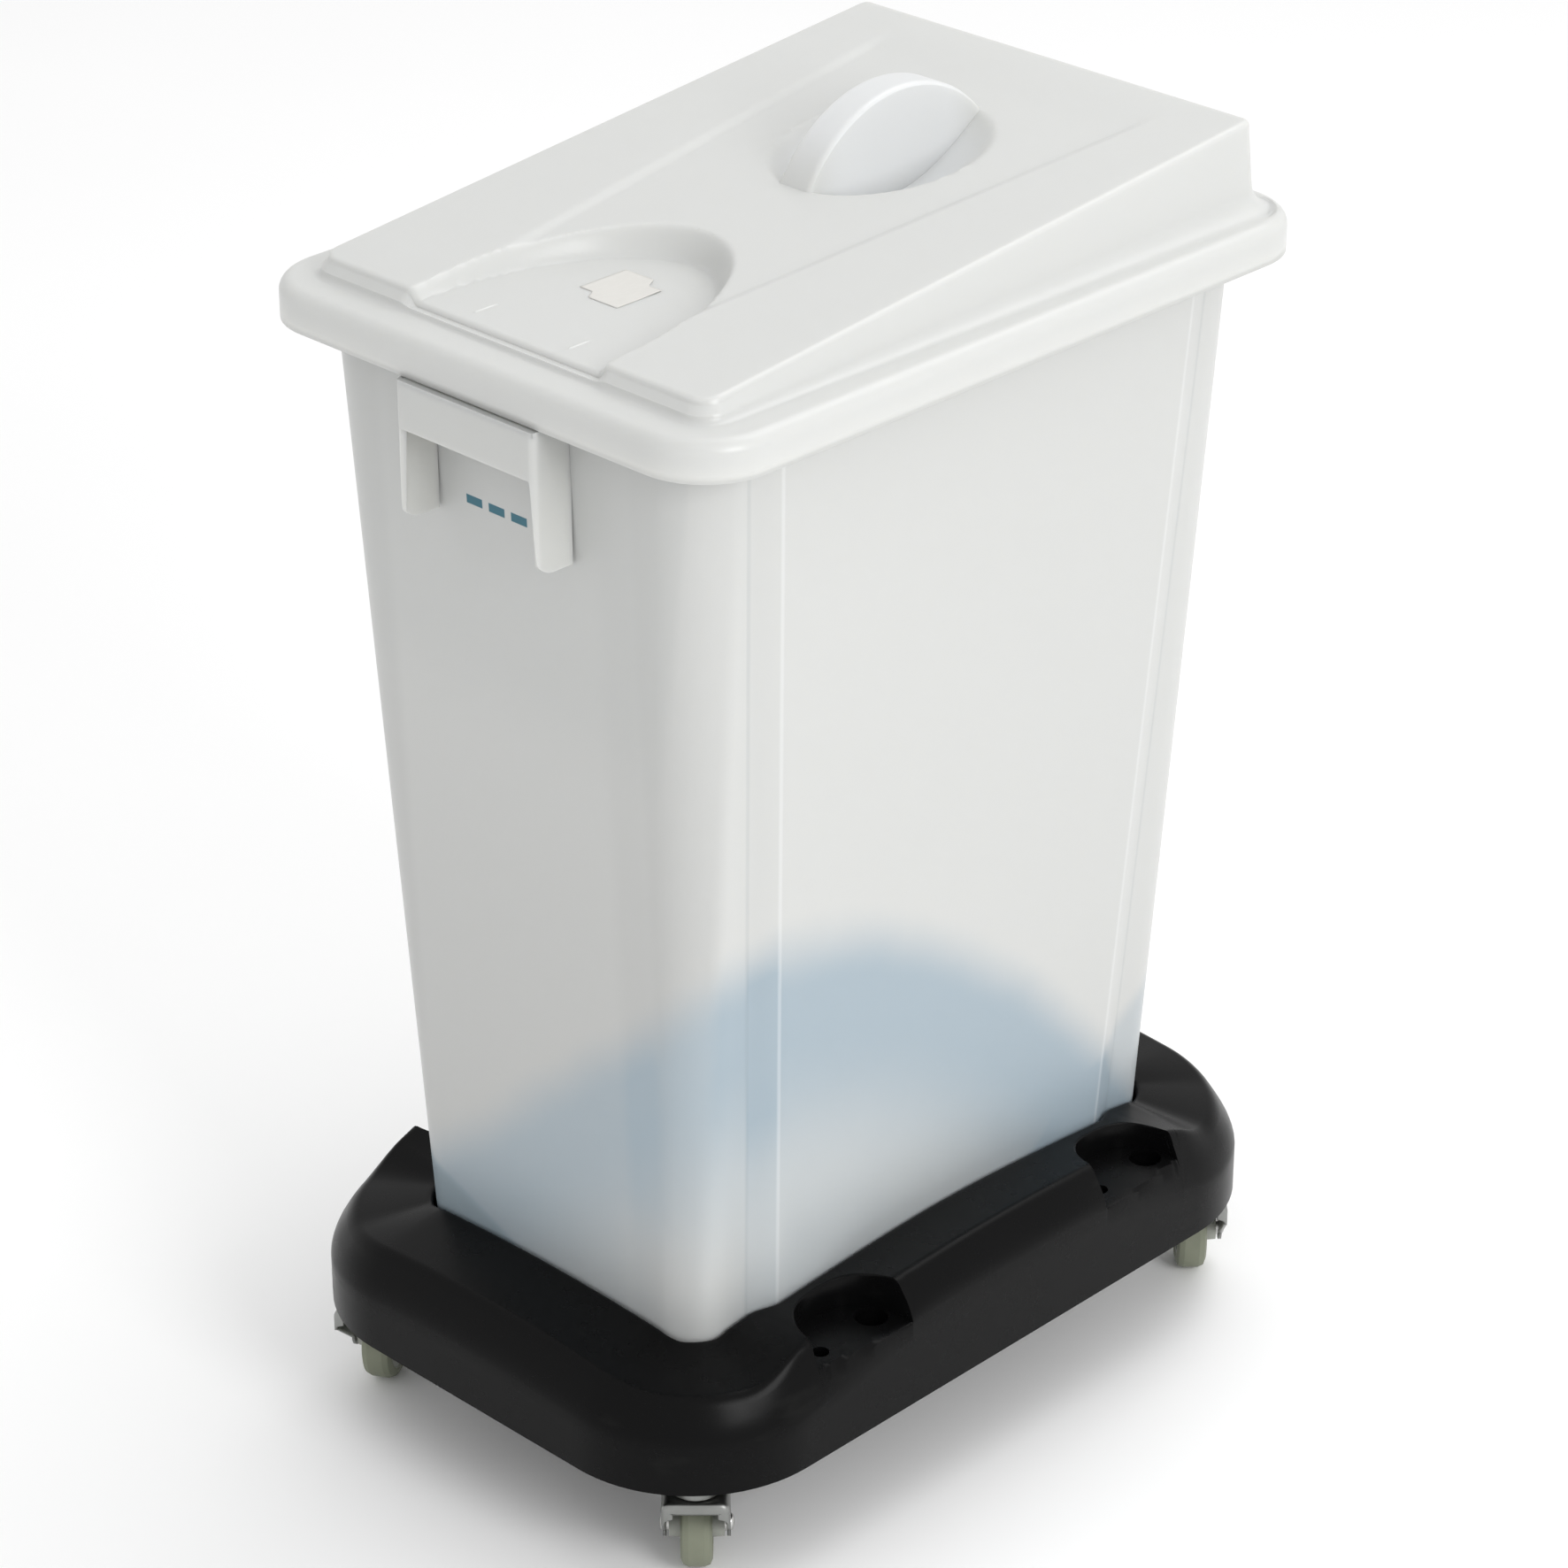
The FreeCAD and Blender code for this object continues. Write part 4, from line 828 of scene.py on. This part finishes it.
def rivet_skin():
    """Head, shaft and head as one closed profile round the axle."""
    dome = np.linspace(0, math.pi / 2, 7)
    radius = np.concatenate([HEAD_RADIUS * np.sin(dome),
                             [HEAD_RADIUS, SHAFT_RADIUS, SHAFT_RADIUS, HEAD_RADIUS],
                             HEAD_RADIUS * np.sin(dome[::-1])])[:, None]
    along = np.concatenate([FORK_X + HEAD_HIGH * np.cos(dome), [FORK_X, FORK_X, -FORK_X, -FORK_X],
                            -FORK_X - HEAD_HIGH * np.cos(dome[::-1])])[:, None]
    turn = np.arange(32) / 32 * 2 * math.pi
    return grid_of(AXLE_X + radius * np.cos(turn), along, AXLE_Z + radius * np.sin(turn))


rivet_pieces = [build("plated_rivet_" + corner, [skin(at_caster(rivet_skin(), corner), around=True)],
                      "swivel_" + corner,
                      replaces=["axle_bolt_" + corner, "axle_nut_" + corner]) for corner in CORNERS]

# %% [markdown]
# ## Paper label
#
# The label is a small sheet that has come loose along one edge, so it is a
# grid whose height rises with the square of the distance past the loose line.

# %% Build the label
PAPER_SHEET, LIFT = 0.15, 1.2


def label_skin():
    """A label with two torn sides: its front and back edges step back, and one corner lifts."""
    x = np.linspace(label_low[0], label_high[0], 28)[None, :]
    front = label_low[1] + 7.0 * smooth((label_low[0] + 14.0 - x) / 5.0)
    back = label_high[1] - 8.0 * smooth((x - label_high[0] + 15.0) / 6.0)
    y = front + (back - front) * np.linspace(0, 1, 24)[:, None]
    loose = np.clip((x - label_low[0]) / 33 + (y - label_low[1]) / 39 - 1.3, 0, 1)
    wave = 0.05 * np.sin(x * 0.4) * np.cos(y * 0.3)
    return skin(grid_of(x, y, label_high[2] + 0.1 + wave + LIFT * loose ** 2))


label_piece = build("paper_sticker", [label_skin()], "lid", replaces=["lid_label"])
sheet_of(label_piece, PAPER_SHEET)

# %% [markdown]
# ## Writing finishes
#
# A finish is a node tree. Wiring one by hand is slow to read, so a small class
# wraps an output socket and gives it arithmetic, and one method adds any other
# node from its type, its settings and the values or links of its sockets.
# Patterns use Object coordinates, in metres, because every piece and every
# node of the frame has its object at the origin.

# %% Sockets with arithmetic
class Wire:
    """An output socket; sums and products of wires add Math nodes to the same finish."""

    def __init__(self, finish, socket):
        self.finish = finish
        self.socket = socket

    def math(self, operation, *values):
        return self.finish.node("Math", {"operation": operation}, dict(enumerate(values)))

    def __add__(self, other):
        return self.math("ADD", self, other)

    def __sub__(self, other):
        return self.math("SUBTRACT", self, other)

    def __rsub__(self, other):
        return self.math("SUBTRACT", other, self)

    def __mul__(self, other):
        return self.math("MULTIPLY", self, other)

    def __abs__(self):
        return self.math("ABSOLUTE", self)

    __radd__ = __add__
    __rmul__ = __mul__


class Finish:
    """A material with one Principled shader, filled in step by step."""

    def __init__(self, name, **constants):
        self.material = bpy.data.materials.new(name)
        self.material.use_nodes = True
        self.tree = self.material.node_tree
        self.tree.nodes.clear()
        self.shader = self.tree.nodes.new("ShaderNodeBsdfPrincipled")
        output = self.tree.nodes.new("ShaderNodeOutputMaterial")
        self.tree.links.new(self.shader.outputs[0], output.inputs["Surface"])
        for key, value in constants.items():
            self.set(key.replace("_", " "), value)
        self.place = self.node("TexCoord", output="Object")
        self.x, self.y, self.z = (
            self.node("SeparateXYZ", {}, {0: self.place}, output=axis) * (1 / MM) for axis in "XYZ")

    def node(self, kind, settings=None, sockets=None, output=0):
        """A new node: its settings are set first, then its sockets are given values or links."""
        made = self.tree.nodes.new("ShaderNode" + kind)
        for key, value in (settings or {}).items():
            setattr(made, key, value)
        for key, value in (sockets or {}).items():
            self.feed(made.inputs[key], value)
        return Wire(self, made.outputs[output])

    def feed(self, socket, value):
        if isinstance(value, Wire):
            self.tree.links.new(value.socket, socket)
        else:
            socket.default_value = value

    def set(self, key, value):
        self.feed(self.shader.inputs[key], value)

    def step(self, value, low, high):
        """0 where value is under low, 1 over high, smooth between; low may be the larger one."""
        return self.node("MapRange", {"interpolation_type": "SMOOTHSTEP"},
                         {0: value, 1: low, 2: high, 3: 0.0, 4: 1.0})

    def noise(self, scale, detail=2.0, stretch_by=(1, 1, 1)):
        """Cloudy noise from 0 to 1, scale features to the metre, drawn out by stretch_by."""
        place = self.node("Mapping", {}, {0: self.place, "Scale": stretch_by})
        return self.node("TexNoise", {}, {"Vector": place, "Scale": scale, "Detail": detail,
                                          "Roughness": 0.5})

    def mix(self, amount, color, other):
        """A colour that goes from color to other as amount goes from 0 to 1."""
        first, second = (c if isinstance(c, Wire) else (*c, 1.0) for c in (color, other))
        return self.node("Mix", {"data_type": "RGBA"}, {0: amount, 6: first, 7: second}, output=2)

    def bump(self, height, distance, strength=1.0):
        """Feeds the normal with a height in millimetres."""
        self.set("Normal", self.node("Bump", {}, {"Height": height, "Distance": distance * MM,
                                                  "Strength": strength}))


def wear(finish, *pieces):
    """Gives a finish to pieces and to nodes of the frame, by their names."""
    for piece in pieces:
        mesh = (piece if isinstance(piece, bpy.types.Object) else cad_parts[piece]).data
        mesh.materials.clear()
        mesh.materials.append(finish.material)
    print("%-20s on %s" % (finish.material.name, ", ".join(getattr(p, "name", p) for p in pieces)))


# %% [markdown]
# ## Milky polypropylene
#
# Unfilled polypropylene lets light in and scatters it, so it looks soft and a
# little lighter along thin edges. Its mould leaves a faint orange peel and
# barely visible flow lines down the walls. Subsurface scattering gives the
# soft look. The lower part of the bin is painted darker and blue-grey below an
# arched upper edge, in the bin's own coordinates: painted shade, for the
# shaded inside seen through the walls. The lid's bowls carry painted light, and
# the bin's front, sides, ramps and ends carry painted shade and painted
# highlight lines.

# %% Milky finishes
MILK, BOWL_PAINTED_LIGHT, END_PAINTED_SHADE = (0.600, 0.604, 0.585), (0.70, 0.71, 0.71), (0.46, 0.47, 0.46)
SHADE, EDGE_PAINTED_HIGHLIGHT = (0.400, 0.402, 0.395), (0.84, 0.85, 0.85)
PAINTED_SHADE_BLUE, DEEP_PAINTED_SHADE, TEAL = (0.325, 0.395, 0.445), (0.22, 0.265, 0.285), (0.012, 0.12, 0.17)


def milky(name):
    """Milky moulded plastic with flow lines and a fine orange peel."""
    finish = Finish(name, Subsurface_Weight=0.35, Subsurface_Scale=0.012, IOR=1.49)
    finish.shader.inputs["Subsurface Radius"].default_value = (1.0, 0.95, 0.85)
    flow = finish.noise(9.0, 3.0, (1, 1, 0.12))
    cloud = finish.noise(5.0, 2.0)
    shade = (flow - 0.5) * 0.10 + (cloud - 0.5) * 0.08 + 0.5
    milk = finish.mix(shade, *(tuple(c * share for c in MILK) for share in (0.93, 1.07)))
    finish.set("Roughness", finish.noise(40.0, 2.0) * 0.12 + 0.28)
    finish.bump(finish.noise(420.0, 2.0), 0.05, 0.35)
    return finish, milk


lid_finish, lid_milk = milky("milky_lid")
# Painted light: towards their middles the lid's bowls are mixed towards a lighter milk, which softens
# their shading.
bowl_x, bowl_y = lid_finish.x * (1 / BOWL_X), (lid_finish.y - BOWL_MIDDLE) * (1 / BOWL_Y)
bowl_painted_light = lid_finish.step(bowl_x * bowl_x + bowl_y * bowl_y, 1.0, 0.35)
lid_finish.set("Base Color", lid_finish.mix(bowl_painted_light * 0.85, lid_milk, BOWL_PAINTED_LIGHT))
wear(lid_finish, lid_piece)

# %% [markdown]
# On the bin, each mask below is 0 or 1 with a soft border, worked out from x, y
# and z in millimetres: how far a point lies under the painted shade's arched
# edge, and whether it is on the front, a long side or a panel's ramp, or so far
# out at an end that it belongs to a grip or to the top of an end wall. Painted
# shade on the front and the long sides, the blue-grey painted shade below the
# arch, the ramps' painted highlight and shade lines, painted shade on those far
# ends and three plain bars in place of a mark are laid over each other in that
# order.

# %% The bin's colours and painted shade
PANEL_FOOT, PANEL_LEAN = 140.0, 0.0475
BAR_Z, BAR_PLACES = 610.0, (-23.5, -6.5, 10.5)
bin_finish, bin_milk = milky("milky_bin")
x, y, z, between = bin_finish.x, bin_finish.y, bin_finish.z, bin_finish.step
past = (y + 150.0).math("MAXIMUM", y + 150.0, 0.0)
on_front_soft = between(y, -178.0, -190.0)
# Painted shade: a blue-grey darkening below an arched edge that is highest at the front right corner,
# for the shaded inside seen through the walls; it is weaker on the front and left lighter low at the
# front right corner.
under_shade_edge = 382.0 - past * 0.10 - past * past * 0.0018 - (126.0 - x) * 0.845 - z
under_shade_edge = under_shade_edge + (bin_finish.noise(14.0, 2.0) - 0.5) * 16.0 - on_front_soft * 6.0
panel_end = (z - FOOT) * PANEL_LEAN + PANEL_FOOT
off_end = abs(y) - panel_end
on_side = between(abs(x), 90.0, 100.0)
on_front = between(y, -178.0, -184.0)
# Painted shade: the panels' ramps on the long sides and a band near the front wall's right corner get
# more of the blue-grey painted shade.
ramp_shade = between(off_end, -9.5, -8.5) * between(off_end, 9.5, 8.5) * on_side
post_shade = between(abs(x - 82.0), 20.0, 6.0) * on_front
painted_light_corner = between(x - y, 240.0, 292.0) * between(z, 225.0, 165.0)
# Painted shade: darker bands low on the left part of the front wall and low on the long sides.
front_low_shade = between(168.0 - (x + 95.0) * 0.42 - z, -3.0, 6.0) * on_front * between(x, 60.0, 30.0)
side_low_shade = between(98.0 + (y - 10.0) * 0.72 - z, -6.0, 14.0) * on_side
painted_low_shade = between(under_shade_edge, -9.0, 40.0) * (1 - between(under_shade_edge, 65.0, 170.0) * 0.62)
painted_low_shade = painted_low_shade * (1 - on_front_soft * 0.18) * (1 - painted_light_corner * 0.75)
painted_low_shade = painted_low_shade * (1 + ramp_shade * 0.3 + post_shade * 0.25) + side_low_shade * 0.45 + front_low_shade * 0.45
# Painted shade: the front wall, darker towards its bottom, the long sides and a band near the front's
# right corner are mixed towards a grey.
painted_shade_share = on_front_soft * (between(z, 680.0, 250.0) * 0.31 + 0.16) + on_side * 0.16 + post_shade * 0.10
shaded = bin_finish.mix(painted_shade_share, bin_milk, SHADE)
with_painted_shade = bin_finish.mix(painted_low_shade.math("MINIMUM", painted_low_shade, 1.0), shaded, PAINTED_SHADE_BLUE)
with_painted_shade = bin_finish.mix(front_low_shade * 0.42, with_painted_shade, DEEP_PAINTED_SHADE)
# Painted highlight: a thin lighter line where each panel meets its ramp; painted shade: a thin darker
# line at the ramp's foot.
painted_highlight_edge = between(abs(off_end + 9.0), 1.7, 0.5) * on_side
with_painted_shade = bin_finish.mix(painted_highlight_edge * 0.20, with_painted_shade, EDGE_PAINTED_HIGHLIGHT)
painted_shade_edge = between(abs(off_end - 9.0), 1.7, 0.5) * on_side
with_painted_shade = bin_finish.mix(painted_shade_edge * 0.14, with_painted_shade, DEEP_PAINTED_SHADE)
# Painted shade: the grips and the upper parts of both end walls, inside and out, are mixed towards a
# darker grey.
far_end_shade = between(abs(y), 206.0, 209.0) * between(z, 683.0, 682.0)
with_painted_shade = bin_finish.mix(far_end_shade * 0.35, with_painted_shade, END_PAINTED_SHADE)
row = between(abs(z - BAR_Z), 2.8, 2.3) * between(y, -203.0, -204.0)
first, second, third = (between(abs(x - place), 6.3, 5.8) for place in BAR_PLACES)
bin_finish.set("Base Color", bin_finish.mix((first + second + third) * row, with_painted_shade, TEAL))
wear(bin_finish, bin_piece)

# %% [markdown]
# ## Dolly, metal and rubber
#
# The dolly is black polypropylene with a fine moulded grain and light scuffs.
# The casters are zinc-plated pressed sheet with a faint spangle, brighter
# plated pins, steel balls, a grey moulded core and an olive-grey soft tread.

# %% Black polypropylene
black = Finish("black_dolly", Specular_IOR_Level=0.09)
scuff = black.step(black.noise(26.0, 5.0, (1, 1, 3)), 0.60, 0.80)
black.set("Base Color", black.mix(scuff * 0.5, (0.0028, 0.0028, 0.0029), (0.009, 0.009, 0.0085)))
black.set("Roughness", scuff * 0.14 + black.noise(60.0, 2.0) * 0.08 + 0.24)
black.bump(black.noise(900.0, 2.0), 0.06, 0.30)
wear(black, dolly_piece, ribs_piece)

# %% Metals
def each(*kinds):
    """Names of these kinds of node at all four corners."""
    return ["%s_%s" % (kind, corner) for kind in kinds for corner in CORNERS]


zinc = Finish("zinc_sheet", Metallic=1.0)
spangle = zinc.node("TexVoronoi", {}, {"Vector": zinc.place, "Scale": 190.0}, output="Color")
grey = zinc.node("SeparateColor", {}, {0: spangle})
dull = zinc.noise(45.0, 4.0)
zinc.set("Base Color", zinc.mix(dull, (0.20, 0.205, 0.195), (0.35, 0.355, 0.345)))
zinc.set("Roughness", grey * 0.10 + dull * 0.12 + 0.26)
zinc.bump(zinc.noise(300.0, 3.0), 0.04, 0.3)
wear(zinc, *fork_pieces, *each("top_cup"))

plated = Finish("plated_steel", Metallic=1.0)
plated.set("Roughness", plated.noise(120.0, 4.0, (1, 1, 0.2)) * 0.22 + 0.18)
plated.set("Base Color", plated.mix(plated.noise(60.0, 3.0), (0.48, 0.48, 0.46), (0.70, 0.70, 0.69)))
plated.bump(plated.noise(500.0, 3.0), 0.03, 0.3)
wear(plated, "stem_inserts", *rivet_pieces, *each("stem", "axle_sleeve"))

balls = Finish("bearing_steel", Metallic=1.0)
balls.set("Roughness", balls.noise(200.0, 3.0) * 0.16 + 0.08)
balls.set("Base Color", balls.mix(balls.noise(90.0, 2.0), (0.55, 0.54, 0.52), (0.70, 0.70, 0.71)))
wear(balls, *each("swivel_balls"))

# %% Wheel finishes
core = Finish("grey_core", IOR=1.5)
core.set("Base Color", core.mix(core.noise(70.0, 3.0), (0.27, 0.28, 0.25), (0.36, 0.37, 0.33)))
core.set("Roughness", core.noise(110.0, 2.0) * 0.18 + 0.40)
core.bump(core.noise(700.0, 2.0), 0.05, 0.4)
wear(core, *each("wheel_core"))

tread = Finish("olive_tread", IOR=1.5)
dust = tread.noise(55.0, 5.0)
tread.set("Base Color", tread.mix(dust, (0.150, 0.163, 0.114), (0.23, 0.243, 0.180)))
tread.set("Roughness", dust * 0.2 + 0.48)
tread.bump(tread.noise(600.0, 3.0), 0.08, 0.5)
wear(tread, *each("tyre"))

# %% [markdown]
# ## Paper label
#
# A small off-white paper sticker with a fibrous surface, a little curled.

# %% Paper finish
paper = Finish("paper_label")
fibre = paper.noise(900.0, 4.0, (1, 0.25, 1))
paper.set("Base Color", paper.mix(fibre, (0.60, 0.59, 0.56), (0.66, 0.65, 0.62)))
paper.set("Roughness", fibre * 0.15 + 0.62)
paper.bump(fibre, 0.04, 0.4)
wear(paper, label_piece)

# %% [markdown]
# ## Studio
#
# A pale floor that runs out past the view, a pale world for even light from
# everywhere, a soft key high on the right and a wide one above and behind.
# The camera stands off at the front right corner with a long lens, which keeps
# the tall walls nearly parallel.

# %% Floor, lights and world
bpy.context.scene.view_settings.view_transform = "Standard"
FLOOR_HALF, WORLD_STRENGTH = 14.0, 0.90
floor_mesh = bpy.data.meshes.new("floor")
square = ((-1, -1), (1, -1), (1, 1), (-1, 1))
floor_mesh.from_pydata([(x * FLOOR_HALF, y * FLOOR_HALF, 0) for x, y in square], [], [(0, 1, 2, 3)])
floor = add("floor", floor_mesh)
ground = Finish("pale_floor")
ground.set("Base Color", ground.mix(ground.noise(2.0, 3.0), (0.94, 0.94, 0.94), (0.96, 0.96, 0.96)))
ground.set("Roughness", ground.noise(30.0, 2.0) * 0.1 + 0.75)
wear(ground, floor)

world = bpy.data.worlds.new("studio")
world.use_nodes = True
sky = world.node_tree.nodes["Background"].inputs
sky["Color"].default_value = (1.0, 1.0, 1.0, 1.0)
sky["Strength"].default_value = WORLD_STRENGTH
bpy.context.scene.world = world


def soft_light(name, place, aim, size, power):
    """A square area light at place, turned so that it faces aim."""
    lamp = bpy.data.lights.new(name, "AREA")
    lamp.size, lamp.energy = size, power
    lamp_object = add(name, lamp)
    lamp_object.location = place
    lamp_object.rotation_euler = (Vector(aim) - Vector(place)).to_track_quat("-Z", "Y").to_euler()


soft_light("key_right", (2.5, -0.5, 1.7), (0, 0, 0.4), 1.1, 29.0)
soft_light("top_back", (0.3, 1.4, 2.9), (0, 0, 0.5), 1.8, 22.0)

# %% Camera
AZIMUTH, ELEVATION, DISTANCE = math.radians(44.24), math.radians(27.56), 2.820
AIM = Vector((0.0, 0.0, 0.3731))
camera_data = bpy.data.cameras.new("camera")
camera_data.lens, camera_data.sensor_width, camera_data.shift_x = 114.25, 36.0, -0.0045
camera = add("camera", camera_data)
flat = math.cos(ELEVATION)
camera.location = AIM + DISTANCE * Vector((flat * math.sin(AZIMUTH), -flat * math.cos(AZIMUTH),
                                           math.sin(ELEVATION)))
camera.rotation_euler = (AIM - camera.location).to_track_quat("-Z", "Y").to_euler()
bpy.context.scene.camera = camera
